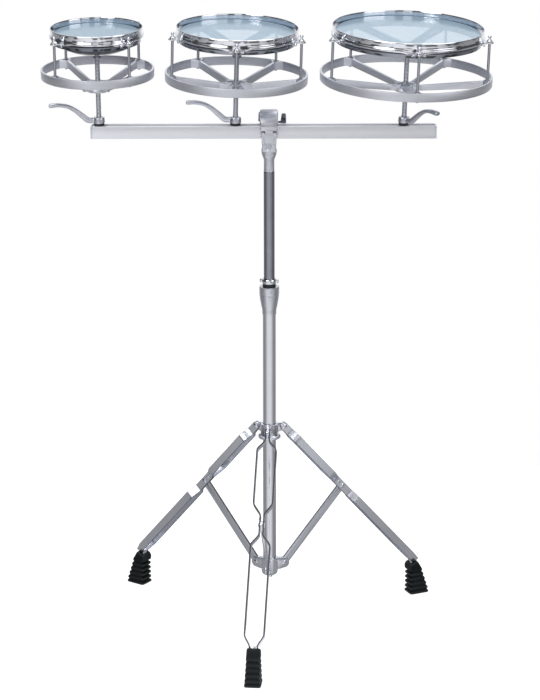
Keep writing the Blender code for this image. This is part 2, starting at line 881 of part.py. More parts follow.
def build_clamp(mast, root):
    seat = rail_top + 0.4 * mm
    rail_front = -rail_width / 2 - 0.6 * mm
    lip_low = 905.0 * mm
    lip_top = 911.0 * mm
    lip_end = bolt_y + 8.0 * mm
    wall_back = bolt_y - 8.0 * mm
    centre_y = 3.0 * mm
    centre_z = rail_top - 0.7 * mm
    pin = (hinge_y, hinge_z)
    shell = (
        [(rail_front, seat), (rail_front, 908.0 * mm), (-23.2 * mm, 908.0 * mm)]
        + arc(centre_y, centre_z, jaw_radius, 178, 0, 12)
        + [
            (lip_end, lip_top - lip_fall),
            (lip_end, lip_low),
            (15.5 * mm, lip_low),
            (15.5 * mm, seat),
        ]
    )
    jaw = moved(prism(shell[::-1], jaw_width), face_side)
    knuckle = prism(
        arc(*pin, 5.0 * mm, 200, 360, 5)
        + [(-12.2 * mm, 909.5 * mm), (-22.6 * mm, 909.5 * mm)],
        14.0 * mm,
        [hole_loop(*pin, hinge_pin_radius + gap, 8)],
    )
    jaw = joined(jaw, moved(knuckle, face_side))
    boss = prism(circle(centre_y, 929.0 * mm, jaw_boss_radius, 14), jaw_boss_width)
    jaw = joined(jaw, moved(boss, face_side))
    slot = box((-bolt_radius - 0.5 * mm, bolt_radius + 0.5 * mm),
               (bolt_y - bolt_radius - 0.5 * mm, lip_end + 2 * mm), (900 * mm, 945 * mm))
    wings = box((-40 * mm, 40 * mm), (wall_back, lip_end + 2 * mm), (lip_top, 950 * mm))
    slope = prism(
        [
            (bolt_y + lip_flat, lip_top),
            (lip_end + 1.0 * mm, lip_top - lip_fall * 1.2),
            (lip_end + 1.0 * mm, lip_top + 1.0 * mm),
            (bolt_y + lip_flat, lip_top + 1.0 * mm),
        ][::-1],
        2 * jaw_width,
    )
    jaw = cut(jaw, slot, wings, moved(slope, face_side))
    jaw_axis = axis("jaw_axis", mast, (0, hinge_y, hinge_z))
    piece("clamp_jaw", moved(jaw, shift(y=-hinge_y, z=-hinge_z)), chrome, jaw_axis)

    floor = rail_top - rail_height - gap
    wall_in = rail_width / 2 + 0.4 * mm
    saddle = prism(
        [
            (-20.5 * mm, clamp_bottom),
            (20.0 * mm, clamp_bottom),
            (21.0 * mm, 900.0 * mm),
            (20.0 * mm, 903.0 * mm),
            (wall_in, 903.0 * mm),
            (wall_in, floor),
            (-wall_in, floor),
            (-wall_in, 896.2 * mm),
            (-21.0 * mm, 896.2 * mm),
        ],
        clamp_width,
    )
    saddle = moved(saddle, face_side)
    ear_outline = arc(*pin, 5.0 * mm, -20, 200, 6) + [(-21.5 * mm, 893.0 * mm), (-13.0 * mm, 893.0 * mm)]
    side_width = (clamp_width - 14.8 * mm) / 2
    ear = prism(ear_outline, side_width)
    ear = moved(ear, face_side)
    offset = clamp_width / 2 - side_width / 2
    ears = together(moved(ear.copy(), shift(x=offset)), moved(ear.copy(), shift(x=-offset)))
    saddle = joined(saddle, ears)
    rear = prism(
        arc(bolt_y, bolt_z, 5.5 * mm, -90, 90, 5)
        + [(18.0 * mm, bolt_z + 5.5 * mm), (18.0 * mm, bolt_z - 5.5 * mm)],
        4.0 * mm,
        [hole_loop(bolt_y, bolt_z, 2.3 * mm, 8)],
    )
    rear = moved(rear, face_side)
    lugs = together(moved(rear.copy(), shift(x=6.0 * mm)), moved(rear.copy(), shift(x=-6.0 * mm)))
    saddle = joined(saddle, lugs)
    half_neck = 12.15 * mm
    neck = box((-half_neck, half_neck), (-half_neck, half_neck), (neck_bottom, clamp_bottom + 2 * mm))
    grooves = []
    for place in (-6.0 * mm, 0.0, 6.0 * mm):
        for side in (-1, 1):
            grooves.append(box((place - 1.2 * mm, place + 1.2 * mm),
                               (side * half_neck - 0.9 * mm, side * half_neck + 0.9 * mm),
                               (neck_bottom - 1 * mm, clamp_bottom - 1.5 * mm)))
    neck = cut(neck, together(*grooves))
    stem = revolve(
        [
            (0, neck_bottom + 3 * mm),
            (12.9 * mm, neck_bottom + 3 * mm),
            (13.4 * mm, neck_bottom - 3.0 * mm),
            (10.6 * mm, flare_bottom + 3.0 * mm),
            (spigot_radius, flare_bottom),
            (spigot_radius, upper_tube_top + gap),
            (upper_tube_radius - upper_tube_wall - gap, upper_tube_top + gap),
            (upper_tube_radius - upper_tube_wall - gap, upper_tube_top - 25.0 * mm),
            (0, upper_tube_top - 25.0 * mm),
        ],
        14,
        closed=False,
    )
    pin_mesh = rod(hinge_pin_radius, -hinge_pin_length / 2, hinge_pin_length / 2, 10, 0.4 * mm)
    pin_mesh = moved(pin_mesh, shift(y=hinge_y, z=hinge_z) @ turn_y(90))
    piece("clamp_body", joined(saddle, neck, stem, pin_mesh), satin, mast)

    bolt_axis = axis("bolt_axis", mast, (0, bolt_y, bolt_z))
    eye = moved(prism(circle(0, 0, 5.0 * mm, 10), 7.2 * mm), face_side)
    shaft = rod(bolt_radius, 3.0 * mm, bolt_length, 10, 0.5 * mm)
    cross = moved(rod(2.0 * mm, -8.0 * mm, 8.0 * mm, 8), turn_y(90))
    piece("clamp_bolt", joined(eye, shaft, cross), steel, bolt_axis)
    nut = wing_mesh(7.0 * mm, 9.5 * mm, nut_wing_span, 17.5 * mm, bolt_radius + gap)
    nut_z = lip_top + gap - bolt_z
    piece("clamp_wing_nut", nut, chrome, bolt_axis, (0, 0, nut_z), (0, 0, -25))


def build_tubes(root, mast):
    inner = upper_tube_radius - upper_tube_wall
    tube = ring(upper_tube_radius, inner, upper_tube_bottom, upper_tube_top, 16)
    piece("upper_tube", tube, chrome, mast)
    lock_low = bush_top + gap
    lock = ring(lock_radius, upper_tube_radius + gap, lock_low, lock_low + lock_height, 16, 0.8 * mm)
    tab = box((lock_radius - 2.0 * mm, lock_radius + 3.6 * mm), (-3.5 * mm, 3.5 * mm),
              (lock_low + 0.8 * mm, lock_low + lock_height - 0.8 * mm))
    tabs = together(moved(tab.copy(), turn_z(-12)), moved(tab.copy(), turn_z(168)))
    piece("memory_lock", joined(lock, tabs), steel, mast)
    bush = revolve(
        [
            (bush_radius - 0.8 * mm, bush_top),
            (bush_radius, bush_top - 0.8 * mm),
            (bush_radius, collar_top - 2.0 * mm - gap),
            (14.0 * mm, collar_top - 2.0 * mm - gap),
            (14.0 * mm, lower_tube_top + 2 * gap + 1.0 * mm),
            (upper_tube_radius + gap, lower_tube_top + 2 * gap + 1.0 * mm),
            (upper_tube_radius + gap, bush_top),
        ],
        16,
    )
    piece("collar_bush", bush, black_plastic, root)
    collar = revolve(
        [
            (collar_radius, collar_top),
            (collar_radius - 0.2 * mm, 606.5 * mm),
            (collar_radius - 0.8 * mm, 605.5 * mm),
            (15.6 * mm, 594.0 * mm),
            (collar_neck_radius, 583.0 * mm),
            (collar_neck_radius, collar_bottom),
            (lower_tube_radius + gap, collar_bottom),
            (lower_tube_radius + gap, lower_tube_top + gap),
            (14.0 * mm + gap, lower_tube_top + gap),
            (14.0 * mm + gap, collar_top - 2.0 * mm),
            (bush_radius + gap, collar_top - 2.0 * mm),
            (bush_radius + gap, collar_top),
        ],
        18,
    )
    boss = moved(rod(6.0 * mm, 15.5 * mm, 22.0 * mm, 10), shift(z=610.0 * mm) @ turn_x(-90))
    hole = moved(rod(3.0 * mm + gap, 14.0 * mm + 2 * gap, 24.0 * mm, 8), shift(z=610.0 * mm) @ turn_x(-90))
    piece("tube_collar", cut(joined(collar, boss), hole), satin, root)
    shaft = rod(3.0 * mm, -6.0 * mm, 2.0 * mm, 8)
    screw = joined(wing_mesh(6.0 * mm, 8.0 * mm, 34.0 * mm, 11.0 * mm, 0.0), shaft)
    piece("collar_screw", screw, chrome, root, (0, 22.4 * mm, 610.0 * mm), (-90, 0, 0))
    lower = ring(lower_tube_radius, lower_tube_radius - lower_tube_wall, spider_bottom + 3.4 * mm,
                 lower_tube_top, 18)
    piece("lower_tube", lower, chrome, root)


def build_hubs(root, slider):
    high = hub_top - pivot_height
    low = hub_bottom - pivot_height
    body = revolve(
        [
            (hub_radius, high),
            (hub_radius, low + 5.0 * mm),
            (hub_flange_radius, low + 4.0 * mm),
            (hub_flange_radius, low),
            (lower_tube_radius + gap, low),
            (lower_tube_radius + gap, high),
        ],
        18,
    )
    lug_end = strip_width / 2 - 0.6 * mm
    lug = prism(
        [(hub_radius - 1.5 * mm, -9.5 * mm)]
        + arc(pivot_radius, 0, lug_end, -75, 75, 5)
        + [(hub_radius - 1.5 * mm, 8.0 * mm)],
        lug_thickness,
        [hole_loop(pivot_radius, 0, pin_radius + gap, 8)],
    )
    lug = moved(lug, stand_up)
    turns = [turn_z(-90 - azimuth) for azimuth in leg_azimuths.values()]
    hub = joined(body, gathered(lug, turns))
    screw_turn = -90 - 185.5
    boss = moved(rod(5.0 * mm, hub_radius - 1.5 * mm, hub_radius + 3.0 * mm, 10),
                 turn_z(screw_turn) @ shift(z=0.0) @ turn_y(90))
    bore = moved(rod(2.5 * mm + gap, lower_tube_radius + 2.0 * mm, hub_radius + 5.0 * mm, 8),
                 turn_z(screw_turn) @ turn_y(90))
    piece("leg_hub", cut(joined(hub, boss), bore), steel, slider)
    shaft = rod(2.5 * mm, -4.5 * mm, 2.0 * mm, 8)
    screw = joined(wing_mesh(5.0 * mm, 7.0 * mm, 30.0 * mm, 10.0 * mm, 0.0), shaft)
    turned = turn_z(screw_turn) @ shift(x=hub_radius + 3.4 * mm) @ turn_y(90)
    made = piece("leg_hub_screw", screw, chrome, slider)
    made.location = turned.to_translation()
    made.rotation_euler = turned.to_euler()

    spider = revolve(
        [
            (0, spider_bottom + 3.0 * mm),
            (lower_tube_radius + gap, spider_bottom + 3.0 * mm),
            (lower_tube_radius + gap, spider_top),
            (spider_radius, spider_top),
            (spider_radius, spider_bottom + 1.0 * mm),
            (spider_radius - 1.0 * mm, spider_bottom),
            (0, spider_bottom),
        ],
        20,
        closed=False,
    )
    ear = prism(
        [(spider_radius - 1.5 * mm, -11.0 * mm)]
        + arc(pivot_radius, 0, spider_ear_radius, -80, 80, 6)
        + [(spider_radius - 1.5 * mm, 11.0 * mm)],
        spider_ear_thickness,
    )
    ear = moved(ear, stand_up)
    side = lug_thickness / 2 + gap + spider_ear_thickness / 2
    places = []
    for azimuth in leg_azimuths.values():
        for way in (-1, 1):
            places.append(turn_z(-90 - azimuth) @ shift(y=way * side, z=pivot_low))
    pin = pin_mesh_for(side + spider_ear_thickness / 2 - 0.3 * mm)
    pins = gathered(pin, [turn_z(-90 - azimuth) @ shift(x=pivot_radius, z=pivot_low)
                          for azimuth in leg_azimuths.values()])
    head = moved(rod(5.2 * mm, -6.0 * mm, 1.0 * mm, 6), shift(z=spider_bottom))
    piece("lower_hub", joined(spider, head, gathered(ear, places), pins), steel, root)


def pin_mesh_for(reach):
    head = pin_head_radius
    shank = pin_radius
    height = pin_head_height
    mesh = revolve(
        [
            (0, reach + height),
            (head, reach),
            (shank, reach),
            (shank, -reach),
            (head, -reach),
            (0, -reach - height),
        ],
        8,
        closed=False,
    )
    return moved(mesh, turn_x(90))


def strip_side(distance):
    wide = strip_wide / 2 - strip_thickness / 2
    narrow = lug_thickness / 2 + gap + strip_thickness / 2
    pinch = pinch_width / 2 - strip_thickness / 2
    knots = [
        (0.0, narrow),
        (neck_ends[0], narrow),
        (wide_starts[0], wide),
        (wide_ends[0], wide),
        (neck_ends[1], narrow),
        (neck_ends[2], narrow),
        (wide_starts[1], wide),
        (wide_ends[1], wide),
        (pinch_start, pinch),
        (strip_length, pinch),
    ]
    for (start, low), (end, high) in zip(knots, knots[1:]):
        if start <= distance <= end:
            share = (distance - start) / (end - start)
            return low + (high - low) * (1 - math.cos(math.pi * share)) / 2
    return pinch


def strip_mesh():
    stations = [0.0]
    bends = list(zip(neck_ends[:1] + wide_ends, wide_starts[:1] + (neck_ends[1], pinch_start)))
    bends.append((neck_ends[2], wide_starts[1]))
    for start, end in sorted(bends):
        stations += [start + (end - start) * share / 3 for share in range(4)]
    stations.append(strip_length)
    half = strip_width / 2
    work = bmesh.new()
    lines = []
    for distance in stations:
        side = strip_side(distance)
        lines.append([work.verts.new((-half, side, -distance)), work.verts.new((half, side, -distance))])
    for above, below in zip(lines, lines[1:]):
        work.faces.new((above[0], above[1], below[1], below[0]))
    side = strip_side(0.0)
    crown = [work.verts.new((x, side, z)) for x, z in arc(0, 0, half, 180, 0, 6)[1:-1]]
    work.faces.new([lines[0][0]] + crown + [lines[0][1]])
    mesh = bpy.data.meshes.new("strip")
    work.to_mesh(mesh)
    work.free()
    thing = holder(mesh)
    thick = thing.modifiers.new("thickness", "SOLIDIFY")
    thick.thickness = strip_thickness
    thick.offset = 0.0
    thick.use_even_offset = True
    return bake(thing)


def grown(outline, amount):
    centre = [sum(values) / len(outline) for values in zip(*outline)]
    result = []
    for x, y in outline:
        reach = math.hypot(x - centre[0], y - centre[1])
        factor = 1 + amount / reach
        result.append((centre[0] + (x - centre[0]) * factor, centre[1] + (y - centre[1]) * factor))
    return result


def ribs(corner, spread, depth, count):
    points = []
    for level in range(count):
        x = corner[0] + spread * level
        z = corner[1] - rib_pitch * level
        points.append((x, z))
        if level < count - 1:
            points.append((x + spread / 2 + depth, z - rib_pitch / 2 + 1.0 * mm))
    return points


def boot_mesh(leg_in_boot):
    outer = ribs(rib_outer, rib_spread, -notch_outer, 5)
    inner = ribs(rib_inner, 0.0, notch_inner, 4)
    toe = outer[-1][0]
    heel = inner[-1][0]
    sole = [
        (toe - notch_outer, sole_height + 2.6 * mm),
        (toe, sole_height),
        (toe, 0.0),
        (heel, 0.0),
        (heel, sole_height),
        (heel + notch_outer, sole_height + 3.0 * mm),
    ]
    outline = list(boot_mouth) + outer + sole + inner[::-1]
    block = moved(prism(outline[::-1], boot_thickness), stand_up)
    for vertex in block.vertices:
        vertex.co.y *= 1 - boot_taper * vertex.co.z
    pocket = moved(prism(grown(stem_outline, 0.6 * mm)[::-1], stem_width + 2 * gap), stand_up)
    mouth = box(
        (-strip_width / 2 - 2 * gap, strip_width / 2 + 2 * gap),
        (-pinch_width / 2 - 2.2 * mm, pinch_width / 2 + 2.2 * mm),
        (-strip_length - 2 * gap, -strip_length + 30 * mm),
    )
    mouth.transform(leg_in_boot)
    return cut(block, pocket, mouth)


def leg_mesh(boot_in_leg):
    side = lug_thickness / 2 + gap + strip_thickness
    strip = strip_mesh()
    mirror = moved(strip.copy(), Matrix.Scale(-1, 4, (0, 1, 0)))
    mirror.flip_normals()
    pin = pin_mesh_for(side - 0.3 * mm)
    button = revolve([(0, pin_head_height), (pin_head_radius, 0), (0, 0)], 8, closed=False)
    buttons = together(
        moved(button.copy(), shift(y=side - 0.3 * mm, z=-brace_length) @ turn_x(-90)),
        moved(button.copy(), shift(y=-side + 0.3 * mm, z=-brace_length) @ turn_x(90)),
    )
    stem = moved(prism(stem_outline[::-1], stem_width), stand_up)
    stem.transform(boot_in_leg)
    return joined(strip, stem, mirror, pin, buttons)


def build_legs(root, slider):
    contact = Vector((boot_radius - pivot_radius, 0, -pivot_height))
    boot_in_leg = turn_y(-leg_angle).inverted() @ Matrix.Translation(contact)
    leg_shape = leg_mesh(boot_in_leg)
    boot_shape = boot_mesh(boot_in_leg.inverted())
    half = strip_width / 2
    strut_outline = arc(0, 0, half, 180, 360, 5) + arc(0, brace_length, half, 0, 180, 5)
    holes = [hole_loop(0, 0, pin_radius + gap, 8), hole_loop(0, brace_length, pin_radius + gap, 8)]
    strut_shape = moved(prism(strut_outline, lug_thickness, holes), stand_up)
    for name, azimuth in leg_azimuths.items():
        turn = -90 - azimuth
        outward = turn_z(turn) @ Vector((pivot_radius, 0, 0))
        leg = axis("leg_axis_" + name, slider, outward, (0, -leg_angle, turn))
        piece("leg_" + name, leg_shape, steel, leg)
        boot = piece("boot_" + name, boot_shape, rubber, leg)
        boot.location = boot_in_leg.to_translation()
        boot.rotation_euler = boot_in_leg.to_euler()
        hinge = outward + Vector((0, 0, pivot_low))
        strut = axis("strut_axis_" + name, root, hinge, (0, leg_angle, turn))
        piece("strut_" + name, strut_shape, steel, strut)


def extent():
    bpy.context.view_layer.update()
    points = []
    for thing in set_parts.objects:
        if thing.type == "MESH":
            points += [thing.matrix_world @ vertex.co for vertex in thing.data.vertices]
    low = Vector([min(point[index] for point in points) for index in range(3)])
    high = Vector([max(point[index] for point in points) for index in range(3)])
    return low, high


def build():
    root = axis("set_root", None)
    mast = axis("mast", root)
    build_rail(mast)
    for name, drum in drums.items():
        build_drum(name, drum, mast)
    build_clamp(mast, root)
    build_tubes(root, mast)
    slider = axis("leg_hub_slide", root, (0, 0, pivot_height))
    build_hubs(root, slider)
    build_legs(root, slider)
    low, high = extent()
    root.location = (-(low.x + high.x) / 2, -(low.y + high.y) / 2, -low.z)
    bpy.context.view_layer.update()
    triangles = 0
    for thing in set_parts.objects:
        if thing.type == "MESH":
            triangles += sum(len(face.vertices) - 2 for face in thing.data.polygons)
    print("size", [round((b - a) / mm, 1) for a, b in zip(low, high)], "triangles", triangles)


build()
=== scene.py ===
import math

import bmesh
import bpy
from mathutils import Matrix, Vector


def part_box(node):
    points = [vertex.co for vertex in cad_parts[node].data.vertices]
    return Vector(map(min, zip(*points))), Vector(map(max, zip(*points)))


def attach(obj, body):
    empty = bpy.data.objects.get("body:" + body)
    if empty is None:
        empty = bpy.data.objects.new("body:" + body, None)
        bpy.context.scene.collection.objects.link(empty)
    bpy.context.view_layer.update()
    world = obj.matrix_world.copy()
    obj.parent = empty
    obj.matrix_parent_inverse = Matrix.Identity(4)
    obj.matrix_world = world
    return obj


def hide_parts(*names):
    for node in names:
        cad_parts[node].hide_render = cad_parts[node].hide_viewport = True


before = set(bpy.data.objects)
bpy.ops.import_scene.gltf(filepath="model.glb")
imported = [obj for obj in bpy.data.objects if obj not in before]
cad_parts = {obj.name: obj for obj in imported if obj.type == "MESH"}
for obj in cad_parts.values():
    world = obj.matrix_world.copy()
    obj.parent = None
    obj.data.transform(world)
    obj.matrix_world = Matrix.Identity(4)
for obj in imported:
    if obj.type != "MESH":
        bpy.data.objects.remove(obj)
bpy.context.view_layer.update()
scene = bpy.context.scene
print("frame loaded:", len(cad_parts), "nodes")


# ---- helpers: every mesh is drawn in millimetres about the stand's tube ----


def shift(x=0.0, y=0.0, z=0.0):
    return Matrix.Translation((x, y, z))


def turn(degrees, axis):
    return Matrix.Rotation(math.radians(degrees), 4, axis)


def holder(data):
    made = bpy.data.objects.new("work", data)
    scene.collection.objects.link(made)
    return made


def baked(thing):
    graph = bpy.context.evaluated_depsgraph_get()
    mesh = bpy.data.meshes.new_from_object(thing.evaluated_get(graph))
    bpy.data.objects.remove(thing, do_unlink=True)
    return mesh


def cleaned(mesh, distance=1e-4):
    work = bmesh.new()
    work.from_mesh(mesh)
    bmesh.ops.remove_doubles(work, verts=work.verts, dist=distance)
    bmesh.ops.dissolve_degenerate(work, edges=work.edges, dist=distance)
    bmesh.ops.recalc_face_normals(work, faces=work.faces)
    work.to_mesh(mesh)
    work.free()
    return mesh


def meshOf(points, faces):
    mesh = bpy.data.meshes.new("work")
    mesh.from_pydata(points, [], faces)
    return cleaned(mesh)


def loft(sections, loop=False, caps=True):
    count = len(sections[0])
    points = [point for section in sections for point in section]
    faces = []
    levels = len(sections)
    for level in range(levels if loop else levels - 1):
        low = level * count
        high = (level + 1) % levels * count
        for index in range(count):
            following = (index + 1) % count
            faces.append((low + index, low + following, high + following, high + index))
    if caps and not loop:
        faces.append(tuple(range(count))[::-1])
        faces.append(tuple(range((levels - 1) * count, levels * count)))
    return meshOf(points, faces)


def lathe(profile, segments=96):
    # a closed profile turned round the Z axis
    sections = []
    for step in range(segments):
        angle = math.tau * step / segments
        sections.append([(r * math.cos(angle), r * math.sin(angle), z) for r, z in profile])
    return loft(sections, loop=True)


def solidLathe(profile, segments=64):
    # an open profile from axis to axis
    sections = []
    for r, z in profile:
        around = [math.tau * step / segments for step in range(segments)]
        sections.append([(max(r, 1e-5) * math.cos(a), max(r, 1e-5) * math.sin(a), z) for a in around])
    return loft(sections)


def arc(x, y, radius, start, end, steps):
    points = []
    for step in range(steps + 1):
        angle = math.radians(start + (end - start) * step / steps)
        points.append((x + radius * math.cos(angle), y + radius * math.sin(angle)))
    return points


def slab(outline, thickness, holes=()):
    curve = bpy.data.curves.new("outline", "CURVE")
    curve.dimensions = "2D"
    curve.fill_mode = "BOTH"
    curve.extrude = thickness / 2
    for loop in (outline, *holes):
        spline = curve.splines.new("POLY")
        spline.points.add(len(loop) - 1)
        for point, (x, y) in zip(spline.points, loop):
            point.co = (x, y, 0, 1)
        spline.use_cyclic_u = True
    return cleaned(baked(holder(curve)))


def block(low, high):
    x, y, z = zip(low, high)
    corners = [(x[i & 1], y[i >> 1 & 1], z[i >> 2 & 1]) for i in range(8)]
    return meshOf(corners, [(0, 1, 3, 2), (4, 5, 7, 6), (0, 1, 5, 4), (2, 3, 7, 6), (0, 2, 6, 4), (1, 3, 7, 5)])


def at(mesh, matrix):
    mesh.transform(matrix)
    if matrix.determinant() < 0:
        mesh.flip_normals()
    return mesh


def bundled(*meshes):
    work = bmesh.new()
    for mesh in meshes:
        work.from_mesh(mesh)
    result = bpy.data.meshes.new("bundle")
    work.to_mesh(result)
    work.free()
    return result


def changed(mesh, kind, **settings):
    thing = holder(mesh)
    modifier = thing.modifiers.new("change", kind)
    for key, value in settings.items():
        setattr(modifier, key, value)
    return baked(thing)


def softened(mesh, width, segments=2, angle=30):
    return changed(
        mesh,
        "BEVEL",
        width=width,
        segments=segments,
        limit_method="ANGLE",
        angle_limit=math.radians(angle),
        use_clamp_overlap=True,
    )


def combined(base, tool, operation):
    other = holder(tool)
    mesh = changed(base, "BOOLEAN", operation=operation, solver="EXACT", object=other)
    bpy.data.objects.remove(other, do_unlink=True)
    return mesh


def fused(base, *tools):
    for tool in tools:
        base = combined(base, tool, "UNION")
    return base


def carved(base, *tools):
    for tool in tools:
        base = combined(base, tool, "DIFFERENCE")
    return base


def castForm(mesh, voxel, rounds, keep=0.5):
    # a cast piece: the parts flow into each other with small fillets
    mesh = changed(mesh, "REMESH", mode="VOXEL", voxel_size=voxel, use_smooth_shade=True)
    mesh = changed(mesh, "SMOOTH", factor=0.5, iterations=rounds)
    return changed(mesh, "DECIMATE", ratio=keep)


standUp = turn(90, "X")
faceSide = Matrix(((0, 0, 1, 0), (1, 0, 0, 0), (0, 1, 0, 0), (0, 0, 0, 1)))


# ---- shader node groups shared by the finishes ----


def newGroup(name, inputs, outputs):
    group = bpy.data.node_groups.new(name, "ShaderNodeTree")
    for label, kind, value in inputs:
        socket = group.interface.new_socket(label, in_out="INPUT", socket_type=kind)
        if value is not None:
            socket.default_value = value
    for label, kind in outputs:
        group.interface.new_socket(label, in_out="OUTPUT", socket_type=kind)
    return group, group.nodes.new("NodeGroupInput"), group.nodes.new("NodeGroupOutput")


def makeGrainGroup():
    # fine grain that can be drawn out into brush lines, with slow clouds over it
    group, start, end = newGroup(
        "surfaceGrain",
        [
            ("Place", "NodeSocketVector", None),
            ("Stretch", "NodeSocketVector", (1.0, 1.0, 1.0)),
            ("Fine Scale", "NodeSocketFloat", 900.0),
            ("Cloud Scale", "NodeSocketFloat", 20.0),
            ("Low", "NodeSocketFloat", 0.2),
            ("High", "NodeSocketFloat", 0.4),
        ],
        [("Roughness", "NodeSocketFloat"), ("Height", "NodeSocketFloat"), ("Clouds", "NodeSocketFloat")],
    )
    nodes, links = group.nodes, group.links
    pull = nodes.new("ShaderNodeVectorMath")
    pull.operation = "MULTIPLY"
    links.new(start.outputs["Place"], pull.inputs[0])
    links.new(start.outputs["Stretch"], pull.inputs[1])
    fine = nodes.new("ShaderNodeTexNoise")
    fine.inputs["Detail"].default_value = 3.0
    links.new(pull.outputs[0], fine.inputs["Vector"])
    links.new(start.outputs["Fine Scale"], fine.inputs["Scale"])
    clouds = nodes.new("ShaderNodeTexNoise")
    clouds.inputs["Detail"].default_value = 4.0
    links.new(start.outputs["Place"], clouds.inputs["Vector"])
    links.new(start.outputs["Cloud Scale"], clouds.inputs["Scale"])
    both = nodes.new("ShaderNodeMath")
    both.operation = "MULTIPLY_ADD"
    both.inputs[1].default_value = 0.5
    links.new(fine.outputs["Fac"], both.inputs[0])
    half = nodes.new("ShaderNodeMath")
    half.operation = "MULTIPLY"
    half.inputs[1].default_value = 0.5
    links.new(clouds.outputs["Fac"], half.inputs[0])
    links.new(half.outputs[0], both.inputs[2])
    spread = nodes.new("ShaderNodeMapRange")
    spread.inputs["From Min"].default_value = 0.35
    spread.inputs["From Max"].default_value = 0.65
    links.new(both.outputs[0], spread.inputs["Value"])
    links.new(start.outputs["Low"], spread.inputs["To Min"])
    links.new(start.outputs["High"], spread.inputs["To Max"])
    links.new(spread.outputs[0], end.inputs["Roughness"])
    links.new(fine.outputs["Fac"], end.inputs["Height"])
    links.new(clouds.outputs["Fac"], end.inputs["Clouds"])
    return group


def makeWearAndSheenGroup():
    # edges that hands and stands have rubbed, and dull hollows; on the boots' ribs the lighter edge is a painted
    # highlight
    group, start, end = newGroup(
        "edgeWearAndSheen",
        [
            ("Place", "NodeSocketVector", None),
            ("Base", "NodeSocketColor", (0.6, 0.6, 0.6, 1.0)),
            ("Edge", "NodeSocketColor", (0.8, 0.8, 0.8, 1.0)),
            ("Amount", "NodeSocketFloat", 0.5),
            ("Patch Scale", "NodeSocketFloat", 60.0),
        ],
        [("Color", "NodeSocketColor"), ("Mask", "NodeSocketFloat")],
    )
    nodes, links = group.nodes, group.links
    shape = nodes.new("ShaderNodeNewGeometry")
    edges = nodes.new("ShaderNodeMapRange")
    edges.inputs["From Min"].default_value = 0.51
    edges.inputs["From Max"].default_value = 0.60
    links.new(shape.outputs["Pointiness"], edges.inputs["Value"])
    patches = nodes.new("ShaderNodeTexNoise")
    patches.inputs["Detail"].default_value = 5.0
    links.new(start.outputs["Place"], patches.inputs["Vector"])
    links.new(start.outputs["Patch Scale"], patches.inputs["Scale"])
    wornAndSheen = nodes.new("ShaderNodeMath")
    wornAndSheen.operation = "MULTIPLY"
    links.new(edges.outputs[0], wornAndSheen.inputs[0])
    links.new(patches.outputs["Fac"], wornAndSheen.inputs[1])
    mask = nodes.new("ShaderNodeMath")
    mask.operation = "MULTIPLY"
    mask.use_clamp = True
    links.new(wornAndSheen.outputs[0], mask.inputs[0])
    links.new(start.outputs["Amount"], mask.inputs[1])
    blend = nodes.new("ShaderNodeMix")
    blend.data_type = "RGBA"
    links.new(mask.outputs[0], blend.inputs["Factor"])
    links.new(start.outputs["Base"], blend.inputs["A"])
    links.new(start.outputs["Edge"], blend.inputs["B"])
    links.new(blend.outputs["Result"], end.inputs["Color"])
    links.new(mask.outputs[0], end.inputs["Mask"])
    return group


grainGroup = makeGrainGroup()
wearAndSheenGroup = makeWearAndSheenGroup()


def finish(name, colour, edge, metallic, rough, stretch=(1, 1, 1), fine=900.0, cloud=20.0, bump=0.05,
           wearAndSheen=0.6, tint=0.06, specular=0.5, alpha=1.0):
    material = bpy.data.materials.new(name)
    material.use_nodes = True
    nodes, links = material.node_tree.nodes, material.node_tree.links
    shader = nodes["Principled BSDF"]
    place = nodes.new("ShaderNodeTexCoord")
    grain = nodes.new("ShaderNodeGroup")
    grain.node_tree = grainGroup
    grain.inputs["Stretch"].default_value = stretch
    grain.inputs["Fine Scale"].default_value = fine
    grain.inputs["Cloud Scale"].default_value = cloud
    grain.inputs["Low"].default_value = rough[0]
    grain.inputs["High"].default_value = rough[1]
    links.new(place.outputs["Object"], grain.inputs["Place"])
    wornAndSheen = nodes.new("ShaderNodeGroup")
    wornAndSheen.node_tree = wearAndSheenGroup
    # lighter edge colour: rubbed wear, and on the boots' ribs a painted highlight
    wornAndSheen.inputs["Base"].default_value = (*colour, 1.0)
    wornAndSheen.inputs["Edge"].default_value = (*edge, 1.0)
    wornAndSheen.inputs["Amount"].default_value = wearAndSheen
    links.new(place.outputs["Object"], wornAndSheen.inputs["Place"])
    shade = nodes.new("ShaderNodeMix")
    shade.data_type = "RGBA"
    shade.blend_type = "MULTIPLY"
    shade.inputs["B"].default_value = (1.0 - 2 * tint, 1.0 - 2 * tint, 1.0 - 1.6 * tint, 1.0)
    links.new(grain.outputs["Clouds"], shade.inputs["Factor"])
    links.new(wornAndSheen.outputs["Color"], shade.inputs["A"])
    links.new(shade.outputs["Result"], shader.inputs["Base Color"])
    links.new(grain.outputs["Roughness"], shader.inputs["Roughness"])
    ripple = nodes.new("ShaderNodeBump")
    ripple.inputs["Strength"].default_value = bump
    ripple.inputs["Distance"].default_value = 0.0004
    links.new(grain.outputs["Height"], ripple.inputs["Height"])
    links.new(ripple.outputs["Normal"], shader.inputs["Normal"])
    shader.inputs["Metallic"].default_value = metallic
    shader.inputs["Specular IOR Level"].default_value = specular
    shader.inputs["Alpha"].default_value = alpha
    return material


